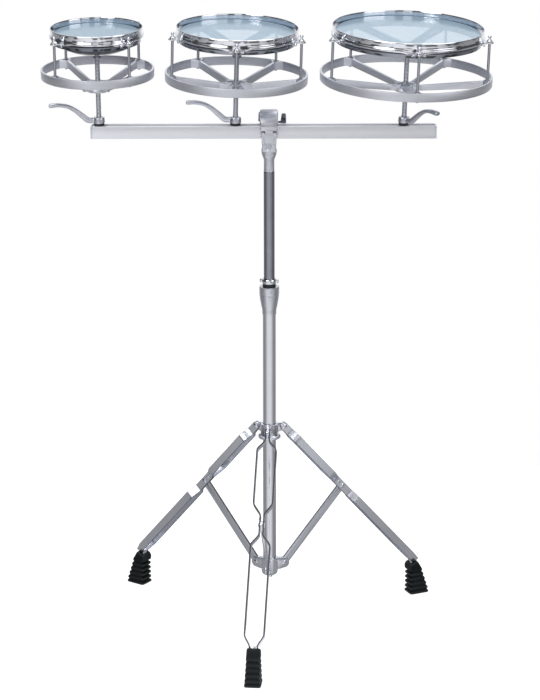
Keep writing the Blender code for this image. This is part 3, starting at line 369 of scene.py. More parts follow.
finishes = {
    "chrome": finish("polishedChrome", (0.76, 0.78, 0.83), (0.84, 0.85, 0.88), 1.0, (0.04, 0.09),
                     fine=260.0, cloud=14.0, bump=0.02, tint=0.03),
    # spoke frames under the hoops: chrome drawn dark, painted shade
    "frame": finish("frameChromePaintedShade", (0.27, 0.29, 0.33), (0.52, 0.54, 0.58), 1.0, (0.05, 0.10),
                    fine=260.0, cloud=18.0, bump=0.02, tint=0.05),
    # the 6-inch drum's bowl: chrome drawn near black, painted shade and painted dark reflection
    "bowl": finish("bowlChromePaintedShade", (0.14, 0.15, 0.18), (0.46, 0.48, 0.52), 1.0, (0.04, 0.08),
                   fine=260.0, cloud=18.0, bump=0.02, tint=0.05),
    "satin": finish("satinChrome", (0.68, 0.69, 0.75), (0.86, 0.87, 0.90), 1.0, (0.28, 0.36),
                    fine=1300.0, cloud=30.0, bump=0.08, tint=0.05),
    "tube": finish("tubeChrome", (0.63, 0.64, 0.70), (0.78, 0.78, 0.80), 1.0, (0.09, 0.15),
                   stretch=(1, 1, 0.03), fine=900.0, cloud=9.0, bump=0.02, tint=0.03),
    "rod": finish("rodChrome", (0.40, 0.41, 0.46), (0.60, 0.60, 0.64), 1.0, (0.12, 0.18),
                  stretch=(1, 1, 0.2), fine=900.0, cloud=20.0, bump=0.03, tint=0.04),
    # upper tube and clamp wing nut: chrome drawn dark, painted shade
    "mast": finish("mastChromePaintedShade", (0.23, 0.24, 0.28), (0.50, 0.51, 0.55), 1.0, (0.12, 0.18),
                   stretch=(1, 1, 0.03), fine=900.0, cloud=9.0, bump=0.02, tint=0.03),
    # rail slot walls: pale matt finish, painted light in the slot's shade
    "inside": finish("slotPaintedLight", (0.78, 0.80, 0.84), (0.86, 0.88, 0.90), 0.0, (0.5, 0.6),
                     stretch=(0.02, 1, 1), fine=1400.0, cloud=6.0, bump=0.06, tint=0.05),
    "cast": finish("satinCasting", (0.74, 0.76, 0.82), (0.86, 0.87, 0.90), 1.0, (0.46, 0.56),
                   fine=1500.0, cloud=25.0, bump=0.14, tint=0.05),
    "rail": finish("anodisedRail", (0.87, 0.89, 0.95), (0.92, 0.93, 0.96), 1.0, (0.36, 0.46),
                   stretch=(0.02, 1, 1), fine=1400.0, cloud=6.0, bump=0.06, tint=0.03),
    "lever": finish("leverSatin", (0.70, 0.71, 0.78), (0.84, 0.85, 0.88), 1.0, (0.26, 0.38),
                    fine=1100.0, cloud=40.0, bump=0.10, tint=0.05),
    "plate": finish("legPlating", (0.84, 0.87, 0.94), (0.90, 0.92, 0.95), 1.0, (0.18, 0.30),
                    fine=420.0, cloud=28.0, bump=0.10, tint=0.10),
    # leg strips' narrow sides: near-black metal, painted shade
    "stripSideShade": finish("stripSidesPaintedShade", (0.075, 0.075, 0.09), (0.20, 0.20, 0.23), 1.0, (0.30, 0.42),
                      fine=700.0, cloud=50.0, bump=0.15, tint=0.08),
    "steel": finish("turnedSteel", (0.50, 0.51, 0.57), (0.70, 0.71, 0.75), 1.0, (0.22, 0.32),
                    stretch=(1, 1, 6), fine=700.0, cloud=30.0, bump=0.06, tint=0.05),
    "black": finish("blackPlastic", (0.014, 0.016, 0.020), (0.05, 0.05, 0.055), 0.0, (0.38, 0.52),
                    fine=1600.0, cloud=60.0, bump=0.12, tint=0.10),
    # boots: rib edges drawn strongly lighter, scuff wear and a painted highlight on the ribs
    "rubber": finish("bootRubber", (0.005, 0.008, 0.010), (0.050, 0.056, 0.060), 0.0, (0.46, 0.62),
                     fine=1300.0, cloud=45.0, bump=0.20, wearAndSheen=2.0, tint=0.12, specular=0.2),
    "film": finish("clearFilm", (0.53, 0.71, 0.86), (0.64, 0.78, 0.90), 0.0, (0.10, 0.20),
                   fine=180.0, cloud=9.0, bump=0.015, tint=0.03, alpha=0.56),
}
print("finishes made:", len(finishes))


# ---- geometry node trees for what repeats and what winds round ----


def newTree(name, inputs):
    tree = bpy.data.node_groups.new(name, "GeometryNodeTree")
    for label, kind in inputs:
        tree.interface.new_socket(label, in_out="INPUT", socket_type=kind)
    tree.interface.new_socket("Geometry", in_out="OUTPUT", socket_type="NodeSocketGeometry")
    return tree, tree.nodes.new("NodeGroupInput"), tree.nodes.new("NodeGroupOutput")


def closeTree(tree, geometry, start, end):
    whole = tree.nodes.new("GeometryNodeRealizeInstances")
    coat = tree.nodes.new("GeometryNodeSetMaterial")
    tree.links.new(geometry, whole.inputs["Geometry"])
    tree.links.new(whole.outputs["Geometry"], coat.inputs["Geometry"])
    tree.links.new(start.outputs["Finish"], coat.inputs["Material"])
    tree.links.new(coat.outputs["Geometry"], end.inputs["Geometry"])


def makeAroundTree():
    tree, start, end = newTree("partsAroundAxis", [
        ("Part", "NodeSocketObject"),
        ("Count", "NodeSocketInt"),
        ("First Angle", "NodeSocketFloat"),
        ("Finish", "NodeSocketMaterial"),
    ])
    nodes, links = tree.nodes, tree.links
    points = nodes.new("GeometryNodePoints")
    part = nodes.new("GeometryNodeObjectInfo")
    index = nodes.new("GeometryNodeInputIndex")
    step = nodes.new("ShaderNodeMath")
    step.operation = "DIVIDE"
    step.inputs[0].default_value = math.tau
    angle = nodes.new("ShaderNodeMath")
    angle.operation = "MULTIPLY_ADD"
    euler = nodes.new("ShaderNodeCombineXYZ")
    rotation = nodes.new("FunctionNodeEulerToRotation")
    place = nodes.new("GeometryNodeInstanceOnPoints")
    links.new(start.outputs["Count"], points.inputs["Count"])
    links.new(start.outputs["Part"], part.inputs["Object"])
    links.new(start.outputs["Count"], step.inputs[1])
    links.new(index.outputs[0], angle.inputs[0])
    links.new(step.outputs[0], angle.inputs[1])
    links.new(start.outputs["First Angle"], angle.inputs[2])
    links.new(angle.outputs[0], euler.inputs["Z"])
    links.new(euler.outputs[0], rotation.inputs[0])
    links.new(points.outputs[0], place.inputs["Points"])
    links.new(part.outputs["Geometry"], place.inputs["Instance"])
    links.new(rotation.outputs[0], place.inputs["Rotation"])
    closeTree(tree, place.outputs[0], start, end)
    return tree


def makeThreadTree():
    tree, start, end = newTree("windingThread", [
        ("Turns", "NodeSocketFloat"),
        ("Length", "NodeSocketFloat"),
        ("Radius", "NodeSocketFloat"),
        ("Depth", "NodeSocketFloat"),
        ("Finish", "NodeSocketMaterial"),
    ])
    nodes, links = tree.nodes, tree.links
    spiral = nodes.new("GeometryNodeCurveSpiral")
    spiral.inputs["Resolution"].default_value = 20
    ridge = nodes.new("GeometryNodeCurvePrimitiveCircle")
    ridge.inputs["Resolution"].default_value = 4
    sweep = nodes.new("GeometryNodeCurveToMesh")
    sweep.inputs["Fill Caps"].default_value = True
    links.new(start.outputs["Turns"], spiral.inputs["Rotations"])
    links.new(start.outputs["Length"], spiral.inputs["Height"])
    links.new(start.outputs["Radius"], spiral.inputs["Start Radius"])
    links.new(start.outputs["Radius"], spiral.inputs["End Radius"])
    links.new(start.outputs["Depth"], ridge.inputs["Radius"])
    links.new(spiral.outputs[0], sweep.inputs["Curve"])
    links.new(ridge.outputs[0], sweep.inputs["Profile Curve"])
    closeTree(tree, sweep.outputs[0], start, end)
    return tree


aroundTree = makeAroundTree()
threadTree = makeThreadTree()


def grownBy(tree, values):
    carrier = holder(bpy.data.meshes.new("carrier"))
    modifier = carrier.modifiers.new("grow", "NODES")
    modifier.node_group = tree
    for item in tree.interface.items_tree:
        if item.in_out == "INPUT":
            modifier[item.identifier] = values[item.name]
    return baked(carrier)


def around(part, count, firstAngle, coat="chrome"):
    template = holder(part)
    mesh = grownBy(aroundTree, {
        "Part": template,
        "Count": count,
        "First Angle": math.radians(firstAngle),
        "Finish": finishes[coat],
    })
    bpy.data.objects.remove(template, do_unlink=True)
    return mesh


def thread(turns, length, radius, depth, coat="steel"):
    return grownBy(threadTree, {
        "Turns": turns,
        "Length": length,
        "Radius": radius,
        "Depth": depth,
        "Finish": finishes[coat],
    })


# ---- placing a finished piece ----

lowCorner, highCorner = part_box("lower_tube")
tubeMiddle = (Vector(lowCorner) + Vector(highCorner)) / 2
toWorld = Matrix.Translation((tubeMiddle.x, tubeMiddle.y, 0)) @ Matrix.Scale(0.001, 4)


def piece(name, mesh, coat, slot, body, *nodes, sharp=38, edge=None):
    mesh = mesh.copy()
    mesh.transform(toWorld)
    marked = [face.material_index == 1 for face in mesh.polygons]
    mesh.materials.clear()
    mesh.materials.append(finishes[coat])
    if edge:
        mesh.materials.append(finishes[edge])
    for face, second in zip(mesh.polygons, marked):
        face.material_index = 1 if edge and second else 0
    mesh.shade_smooth()
    mesh.set_sharp_from_angle(angle=math.radians(sharp))
    made = bpy.data.objects.new(name, mesh)
    scene.collection.objects.link(made)
    if nodes:
        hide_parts(*nodes)
    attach(made, body)
    return made


# ---- rail ----

rail = {"length": 594.6, "middle": -9.4, "top": 914.7, "width": 22.0, "height": 22.0, "wall": 2.0,
        "slot": 11.4, "lip": 3.3, "cap": 2.5, "plug": 2.0, "gap": 0.3}


def makeRail():
    half, lip, wall = rail["width"] / 2, rail["slot"] / 2, rail["wall"]
    inside, low = half - wall, -rail["height"]
    deep = -rail["lip"]
    section = [(-half, low), (half, low), (half, 0), (lip, 0), (lip, deep), (inside, deep),
               (inside, low + wall), (-inside, low + wall), (-inside, deep), (-lip, deep), (-lip, 0), (-half, 0)]
    length = rail["length"] - 2 * rail["cap"] - 2 * rail["gap"]
    channel = softened(at(slab(section, length), faceSide), 0.45)
    for face in channel.polygons:
        # the slot's own walls, drawn pale and matt: painted light lifting the shade inside the slot
        face.material_index = 1 if abs(face.center.y) < lip + 0.1 and face.center.z > deep - 0.1 else 0
    piece("railChannel", at(channel, shift(rail["middle"], 0, rail["top"])), "rail", "satin_metal", "rail", "rail",
          edge="inside")
    plug = inside - rail["gap"]
    for name, side in (("right", 1), ("left", -1)):
        plate = softened(block((0, -half, low), (rail["cap"], half, 0)), 0.5, 3)
        core = block((-rail["plug"], -plug, low + wall + 0.3), (0.4, plug, -wall - 0.3))
        place = shift(rail["middle"] + side * (rail["length"] / 2 - rail["cap"]), 0, rail["top"])
        cap = at(bundled(plate, core), place @ turn(0 if side > 0 else 180, "Z"))
        piece("railCap" + name.title(), cap, "rail", "satin_metal", "rail", "rail_cap_" + name)


makeRail()
print("rail made")


# ---- drums ----

drums = {
    "6": {"head": 76.2, "post": -292.0, "lean": -0.7, "rods": 4, "first": -140.0, "ringTop": 100.5,
          "hubTop": 75.0, "lever": -173.0},
    "8": {"head": 101.6, "post": -58.0, "lean": 1.5, "rods": 5, "first": -90.0, "ringTop": 92.6,
          "hubTop": 74.5, "lever": 180.0},
    "10": {"head": 127.0, "post": 231.5, "lean": 2.1, "rods": 5, "first": -84.6, "ringTop": 91.1,
           "hubTop": 71.0, "lever": -51.0},
}

hoop = {
    "segments": 192,
    # distance from the head's edge, height, and how far the rim dips beside an ear
    "profile": [
        (1.0, 160.6, 0.0), (-2.3, 160.5, 0.0), (-2.6, 161.2, 0.0), (-2.3, 161.9, 0.0), (1.0, 162.1, 0.0),
        (1.0, 169.8, 0.0), (1.15, 171.0, 0.0), (1.6, 171.8, 0.0), (2.2, 172.0, 0.0), (2.9, 171.7, 0.0),
        (3.3, 170.9, 0.0), (3.2, 169.9, 0.0), (2.9, 169.1, 0.0), (2.9, 162.6, 0.0), (3.1, 161.6, 0.1),
        (3.8, 160.8, 0.3), (4.5, 160.0, 0.5), (4.8, 159.0, 0.7), (4.8, 157.0, 0.9), (4.5, 156.0, 1.0),
        (3.8, 155.5, 1.0), (2.4, 155.5, 1.0), (1.2, 155.7, 0.8), (1.0, 156.4, 0.5),
    ],
    "dip": 3.4,
    "dipFlat": 10.0,
    "dipReach": 32.0,
    "earTop": 157.4,
    "earThickness": 2.6,
    "earEnd": 7.2,
    "rodOffset": 13.5,
}


def makeHoop(name, drum, place):
    sections = []
    spacing = 360 / drum["rods"]
    for step in range(hoop["segments"]):
        angle = 360 * step / hoop["segments"]
        away = (angle - drum["first"] + spacing / 2) % spacing - spacing / 2
        along = abs(math.radians(away)) * drum["head"]
        share = min(max((hoop["dipReach"] - along) / (hoop["dipReach"] - hoop["dipFlat"]), 0), 1)
        drop = hoop["dip"] * (1 - math.cos(math.pi * share)) / 2
        section = []
        for offset, height, weight in hoop["profile"]:
            r = drum["head"] + offset
            section.append((r * math.cos(math.radians(angle)), r * math.sin(math.radians(angle)),
                            height - drop * weight))
        sections.append(section)
    shell = loft(sections, loop=True)
    outer = drum["head"] + 3.0
    reach = drum["head"] + hoop["rodOffset"]
    side = [(outer - 0.6, -16.0), (outer + 2.4, -11.5), (outer + 5.2, -8.4), (reach - 2.0, -7.1)]
    outline = side + arc(reach, 0, hoop["earEnd"], -78, 78, 14) + [(x, -y) for x, y in side[::-1]]
    ear = slab(outline, hoop["earThickness"], [arc(reach, 0, 2.9, 0, 345, 23)])
    ear = softened(at(ear, shift(z=hoop["earTop"] - hoop["earThickness"] / 2)), 0.8, 3, 50)
    claw = slab([(-13.0, 150.9), (-10.5, 150.1), (-8.0, 151.2), (-5.0, 152.9), (5.0, 152.9), (8.0, 151.2),
                 (10.5, 150.1), (13.0, 150.9), (11.5, 155.8), (-11.5, 155.8)], 2.6)
    claw = softened(at(claw, shift(outer + 3.4) @ faceSide), 0.8, 3, 40)
    ears = around(bundled(ear, claw), drum["rods"], drum["first"])
    piece("counterHoop" + name, at(bundled(shell, ears), place), "chrome", "chrome",
          "drum_ring_" + name, "hoop_" + name)


def makeHead(name, drum, place):
    inner = drum["head"] - 3.2
    profile = [(0, 163.3), (inner * 0.5, 163.3), (inner - 2.0, 163.3), (inner - 0.6, 163.15), (inner + 0.1, 162.7),
               (inner + 0.35, 161.8), (inner + 0.35, 160.1), (inner, 160.1), (inner - 0.2, 161.8),
               (inner - 0.9, 162.6), (inner - 2.2, 162.85), (inner * 0.5, 162.85), (0, 162.85)]
    piece("headFilm" + name, at(solidLathe(profile, 128), place), "film", "drum_film",
          "drum_ring_" + name, "head_" + name)
    outer = drum["head"] + 0.6
    band = lathe([(outer - 0.5, 160.1), (outer, 159.6), (outer, 156.3), (outer - 0.5, 155.8),
                  (inner + 0.5, 155.8), (inner, 156.3), (inner, 160.1)], 128)
    piece("fleshHoop" + name, at(band, place), "cast", "satin_metal", "drum_ring_" + name)


def rimProfile(drum, wall):
    edge = drum["head"] - 0.5
    return [(wall - 0.8, 161.75), (wall - 0.1, 161.1), (wall, 153.2), (edge - 0.8, 153.0), (edge, 152.2),
            (edge, 146.6), (edge - 0.5, 145.8), (edge - 1.4, 145.5)]


def makeFrame(name, drum, place):
    wall = drum["head"] - 3.5
    rim = rimProfile(drum, wall)
    if name == "6":
        bowl = [(71.5, 145.3), (68.0, 145.2), (66.6, 144.4), (65.2, 142.6), (61.5, 139.9), (56.0, 137.2),
                (49.0, 134.2), (41.0, 131.3), (33.0, 128.9), (26.0, 127.2), (18.0, 126.2), (15.0, 125.8),
                (14.2, 124.6), (8.5, 124.2), (8.0, 122.0), (6.8, 118.6), (4.75, 118.2), (4.75, 134.5), (0, 134.5)]
        inside = [(0, 139.0), (14.0, 138.2), (24.0, 133.6), (40.0, 136.0), (55.0, 141.5), (64.0, 147.0),
                  (wall - 3.6, 151.0), (wall - 3.0, 161.0)]
        # the bowl takes the near-black chrome: painted shade and painted dark reflection
        piece("bowlFrame" + name, at(solidLathe(inside + rim + bowl, 128), place), "bowl", "chrome",
              "drum_frame_" + name, "frame_" + name)
        return
    ring = lathe(rim + [(wall - 3.0, 145.5), (wall - 3.6, 146.2), (wall - 3.2, 161.0), (wall - 2.6, 161.7)], 128)
    hub = solidLathe([(0, 143.0), (9.0, 143.0), (13.0, 142.2), (14.6, 140.4), (13.4, 134.0), (10.0, 126.0),
                      (8.3, 122.5), (7.6, 119.2), (6.4, 118.1), (4.75, 118.1), (4.75, 134.4), (0, 134.4)], 48)
    start, end = 8.0, wall - 1.0
    sections = []
    for share, width, depth in ((0.0, 11.0, 8.6), (0.10, 11.6, 8.2), (0.5, 17.0, 6.4), (0.9, 22.5, 5.2), (1.0, 25.0, 5.0)):
        x = start + (end - start) * share
        middle = 136.4 + (150.0 - 136.4) * share
        half, rise = width / 2, depth / 2
        sections.append([
            (x, -half, middle - rise * 0.4), (x, -half + 1.0, middle - rise), (x, half - 1.0, middle - rise),
            (x, half, middle - rise * 0.4), (x, half, middle + rise * 0.5), (x, half - 0.8, middle + rise),
            (x, half - 2.6, middle + rise), (x, half - 3.6, middle + rise * 0.1), (x, -half + 3.6, middle + rise * 0.1),
            (x, -half + 2.6, middle + rise), (x, -half + 0.8, middle + rise), (x, -half, middle + rise * 0.5),
        ])
    arms = around(loft(sections), drum["rods"], drum["first"])
    # the spoke frame takes the darkened chrome: painted shade under the hoop
    piece("spokeFrame" + name, at(bundled(ring, hub, arms), place), "frame", "chrome",
          "drum_frame_" + name, "frame_" + name)


ringSizes = {"offset": 21.0, "wall": 3.7, "height": 15.4, "hubRadius": 19.5, "hubBottom": 60.0,
             "spokeWidth": 5.4, "bossTip": 3.6, "bossRoot": 13.0, "nutRadius": 7.6, "nutHeight": 4.6}


def makeRing(name, drum, place):
    outer = drum["head"] + ringSizes["offset"]
    inner = outer - ringSizes["wall"]
    top = drum["ringTop"]
    low = top - ringSizes["height"]
    band = lathe([(outer - 0.9, top), (outer - 0.25, top - 0.35), (outer, top - 1.1), (outer - 0.4, low + 1.0),
                  (outer - 0.8, low + 0.3), (outer - 1.4, low), (inner + 0.4, low), (inner - 0.2, low + 0.5),
                  (inner - 0.1, top - 0.9), (inner + 0.5, top)], 192)
    hubTop, bottom, radius = drum["hubTop"], ringSizes["hubBottom"], ringSizes["hubRadius"]
    hub = lathe([(4.7, bottom), (radius - 1.4, bottom), (radius - 0.3, bottom + 0.6), (radius, bottom + 1.8),
                 (radius - 0.6, bottom + 4.0), (radius - 2.6, hubTop - 3.4), (radius - 4.0, hubTop - 1.9),
                 (radius - 6.5, hubTop - 1.2), (9.0, hubTop - 1.0), (4.7, hubTop - 1.0)], 80)
    nut = slab(arc(0, 0, ringSizes["nutRadius"], 0, 300, 5), ringSizes["nutHeight"] + 1.0, [arc(0, 0, 4.7, 0, 337.5, 15)])
    nut = softened(at(nut, shift(z=hubTop + ringSizes["nutHeight"] / 2 - 0.6)), 0.7, 2, 50)
    reach = drum["head"] + hoop["rodOffset"]
    start = radius - 6.0
    outline = [(start, bottom + 1.0), (start + 8.0, bottom + 2.0), (reach - 12.0, low - 0.4), (reach - 5.0, low + 0.6),
               (reach - 5.0, top - 1.0), (inner - 13.0, top - 2.2), (start + 12.0, hubTop + 1.4), (start, hubTop - 1.6)]
    spoke = softened(at(slab(outline, ringSizes["spokeWidth"]), standUp), 0.7, 2, 25)
    root = loft([
        [(start, -8.6, z), (radius + 3.0, -5.6, z), (radius + 11.0, -2.4, z), (radius + 11.0, 2.4, z),
         (radius + 3.0, 5.6, z), (start, 8.6, z)] for z in (bottom + 3.4, hubTop + 0.4)
    ])
    tip, wide = ringSizes["bossTip"], ringSizes["bossRoot"]
    boss = slab([(reach - 7.0, -tip), (inner - 0.6, -wide), (inner + 1.2, -wide), (inner + 1.2, wide),
                 (inner - 0.6, wide), (reach - 7.0, tip)], ringSizes["height"] - 1.4)
    boss = softened(at(boss, shift(z=(top + low) / 2)), 0.8, 3, 30)
    arms = around(bundled(spoke, softened(root, 0.7, 2, 25), boss), drum["rods"], drum["first"], "cast")
    piece("tuningRing" + name, at(bundled(band, hub, arms), place), "cast", "satin_metal",
          "drum_ring_" + name, "tuning_ring_" + name)
    piece("ringNut" + name, at(nut, place), "chrome", "chrome", "drum_ring_" + name)


def makeRods(name, drum, place):
    reach = drum["head"] + hoop["rodOffset"]
    seat = hoop["earTop"] + 0.3
    low = drum["ringTop"] - ringSizes["height"] - 2.0
    ball = arc(0, seat + 8.3, 3.1, 90, -50, 9)
    shape = [(max(x, 0), z) for x, z in ball] + [(1.9, seat + 5.7), (1.9, seat + 5.0), (2.6, seat + 4.0),
             (3.9, seat + 2.3), (5.0, seat + 1.5), (5.3, seat + 1.1), (5.3, seat + 0.2), (5.0, seat), (2.4, seat),
             (2.4, low + 0.6), (1.9, low), (0, low)]
    rod = solidLathe(shape, 28)
    seatRing = lathe([(5.0, drum["ringTop"] - 0.6), (5.4, drum["ringTop"] - 0.1), (4.6, drum["ringTop"] + 0.8),
                      (2.4, drum["ringTop"] + 0.8), (2.4, drum["ringTop"] - 0.6)], 24)
    rods = around(at(bundled(rod, seatRing), shift(reach)), drum["rods"], drum["first"])
    for face in rods.polygons:
        # the shanks are duller than the heads
        face.material_index = 1 if face.center.z < seat - 0.1 else 0
    names = [f"tension_rod_{name}_{index + 1}" for index in range(drum["rods"])]
    piece("tensionRods" + name, at(rods, place), "chrome", "chrome", "drum_ring_" + name, *names, edge="rod")


post = {"radius": 4.35, "top": 133.6, "foot": -9.5, "pitch": 1.25, "ridge": 0.3,
        "teeLength": 14.0, "teeWidth": 17.4, "teeTop": -3.6, "teeThickness": 4.2}


def makePost(name, drum, place):
    core = post["radius"] - post["ridge"]
    shaft = solidLathe([(0, post["top"]), (core - 0.8, post["top"]), (core, post["top"] - 0.8), (core, post["foot"] + 0.6),
                        (core - 0.6, post["foot"]), (0, post["foot"])], 40)
    length = post["top"] - 24.0
    ridge = at(thread(length / post["pitch"], length, core, post["ridge"]), shift(z=21.0))
    collar = solidLathe([(0, 21.5), (4.0, 21.5), (4.35, 21.1), (4.35, -2.0), (0, -2.0)], 40)
    tee = block((-post["teeLength"] / 2, -post["teeWidth"] / 2, post["teeTop"] - post["teeThickness"]),
                (post["teeLength"] / 2, post["teeWidth"] / 2, post["teeTop"]))
    piece("post" + name, at(bundled(shaft, ridge, collar, softened(tee, 0.5)), place), "steel", "leg_steel",
          "post_" + name, "post_" + name)


lever = {"hub": 10.4, "height": 10.6, "base": 3.8, "reach": 88.0, "rise": 38.2, "width": 11.0}


def bentPoint(points, position):
    count = len(points) - 1
    index = min(int(position * count), count - 1)
    local = position * count - index
    before, here = points[max(index - 1, 0)], points[index]
    after, beyond = points[index + 1], points[min(index + 2, count)]
    result = []
    for a, b, c, d in zip(before, here, after, beyond):
        value = 2 * b + (c - a) * local + (2 * a - 5 * b + 4 * c - d) * local ** 2
        result.append((value + (3 * b - a - 3 * c + d) * local ** 3) / 2)
    return result


def makeLever(name, drum, place):
    base = lever["base"] + lever["hub"] * abs(math.sin(math.radians(drum["lean"])))
    top = base + lever["height"]
    radius = lever["hub"]
    hub = lathe([(4.7, base), (radius - 0.9, base), (radius - 0.2, base + 0.5), (radius, base + 1.4),
                 (radius - 0.5, top - 3.0), (radius - 0.9, top - 1.2), (radius - 1.8, top - 0.2), (radius - 2.8, top),
                 (4.7, top)], 64)
    centre = [(5.0, base + 5.0, 4.7), (11.0, base + 5.1, 4.8), (19.0, base + 6.0, 5.0), (28.0, 17.4, 4.7), (41.0, 28.2, 3.9),
              (54.0, 35.3, 3.4), (69.0, 38.1, 3.4), (80.0, 37.7, 3.7), (lever["reach"] - 2.2, 37.0, 3.2)]
    sections = []
    steps = 44
    for step in range(steps + 1):
        position = step / steps
        reach, height, half = bentPoint(centre, position)
        ahead = bentPoint(centre, min(position + 0.01, 1.0))
        behind = bentPoint(centre, max(position - 0.01, 0.0))
        tilt = math.atan2(ahead[1] - behind[1], ahead[0] - behind[0])
        width = lever["width"] / 2 * (1.06 - 0.30 * math.sin(math.pi * min(position * 1.35, 1.0)))
        closing = max((position - 0.94) / 0.06, 0.0)
        shrink = math.sqrt(max(1.0 - closing ** 2, 0.01))
        section = []
        for corner in range(24):
            angle = math.tau * corner / 24
            across = math.copysign(abs(math.cos(angle)) ** 0.75, math.cos(angle)) * width * shrink
            lift = math.copysign(abs(math.sin(angle)) ** 0.75, math.sin(angle)) * half * shrink
            section.append((reach - lift * math.sin(tilt), across, height + lift * math.cos(tilt)))
        sections.append(section)
    shape = castForm(bundled(hub, loft(sections)), 0.55, 4)
    piece("leverNut" + name, at(shape, place @ turn(drum["lever"], "Z")), "lever", "lever_metal",
          "lever_" + name, "lever_nut_" + name, sharp=50)
    flat = shift(drum["post"], 0, rail["top"])
    washer = lathe([(5.0, 0.3), (8.4, 0.3), (9.0, 0.8), (9.0, 2.9), (8.6, 3.5), (5.0, 3.5)], 56)
    piece("washer" + name, at(washer, flat), "black", "black_plastic", "post_" + name, "washer_" + name)


for drumName, sizes in drums.items():
    drumPlace = shift(sizes["post"], 0, rail["top"]) @ turn(sizes["lean"], "Y")
    makeHoop(drumName, sizes, drumPlace)
    makeHead(drumName, sizes, drumPlace)
    makeFrame(drumName, sizes, drumPlace)
    makeRing(drumName, sizes, drumPlace)
    makeRods(drumName, sizes, drumPlace)
    makePost(drumName, sizes, drumPlace)
    makeLever(drumName, sizes, drumPlace)
    print("drum made:", drumName)


# ---- wing fasteners ----


def wings(radius, height, spans, rise, bore=0.0):
    barrel = [(bore or 0.0, 0.0), (radius - 0.4, 0.0), (radius, 0.5), (radius * 0.92, height * 0.5),
              (radius * 0.80, height - 0.5), (radius * 0.74, height), (bore or 0.0, height)]
    shapes = [lathe(barrel, 40) if bore else solidLathe(barrel, 40)]
    for tip, side in zip(spans, (0, 180)):
        blade = min(10.0, tip - radius - 2.4)
        outline = [(bore + 1.0, 1.0), (radius + 2.0, 0.7), (tip - 0.8, 1.2), (tip, 2.6), (tip - 0.5, rise - 3.0),
                   (tip - 1.2, rise - 0.8), (tip - 2.4, rise), (tip - blade * 0.70, rise - 0.2), (tip - blade * 0.82, rise - 2.4),
                   (tip - blade * 0.92, rise * 0.45), (tip - blade, 4.2), (radius + 1.6, 4.8), (bore + 1.0, height * 0.8)]
        wing = softened(at(slab(outline, 3.0), standUp), 0.8, 3, 40)
        shapes.append(at(wing, turn(side, "Z")))
    return castForm(bundled(*shapes), 0.4, 2)


# ---- rail clamp ----

clamp = {"jawWidth": 27.0, "hingeY": -17.0, "hingeZ": 902.0, "boltY": 27.5, "boltZ": 893.0, "boltLength": 39.0,
         "seat": 915.1, "front": -11.6, "crownY": 3.0, "crownZ": 914.0, "crown": 27.0, "lipLow": 905.0,
         "lipTop": 911.0, "wallBack": 19.5, "lipEnd": 35.5}


def makeJaw():
    c = clamp
    shell = [(c["front"], c["seat"]), (c["front"], 908.4), (-21.6, 908.4), (-23.2, 909.6)]
    shell += arc(c["crownY"], c["crownZ"], c["crown"], 176, 4, 40)
    shell += [(c["lipEnd"], c["lipTop"]), (c["lipEnd"], c["lipLow"]), (15.5, c["lipLow"]), (15.5, c["seat"])]
    body = at(slab(shell[::-1], c["jawWidth"]), faceSide)
    clear = block((-40, c["wallBack"], c["lipTop"]), (40, c["lipEnd"] + 2, 960))
    path = block((-3.5, c["boltY"] - 3.5, 895), (3.5, c["lipEnd"] + 2, 950))
    slope = slab([(c["boltY"] + 3.0, c["lipTop"]), (c["lipEnd"] + 1.0, c["lipTop"] - 2.4),
                  (c["lipEnd"] + 1.0, c["lipTop"] + 1.0), (c["boltY"] + 3.0, c["lipTop"] + 1.0)][::-1], 60)
    body = softened(carved(body, clear, path, at(slope, faceSide)), 0.9, 3, 40)
    swell = [(y, 928.0 + 1.1 * z) for y, z in arc(c["crownY"], 0.0, 11.0, 0, 350, 35)]
    boss = softened(at(slab(swell, 31.0), faceSide), 2.2, 4, 40)
    foot = slab(arc(c["hingeY"], c["hingeZ"] + 1.0, 5.2, 150, 390, 16) + [(-12.4, 911.0), (-22.4, 911.0)], 2.6)
    foot = softened(at(foot, faceSide), 0.6, 2, 50)
    feet = bundled(at(foot.copy(), shift(13.9)), at(foot.copy(), shift(-13.9)))
    knuckle = slab(arc(c["hingeY"], c["hingeZ"], 5.0, 190, 360, 12) + [(-12.2, 909.5), (-22.2, 909.5)], 13.6)
    knuckle = at(knuckle, faceSide)
    piece("clampJaw", bundled(body, boss, feet, knuckle), "satin", "chrome", "clamp_jaw", "clamp_jaw")


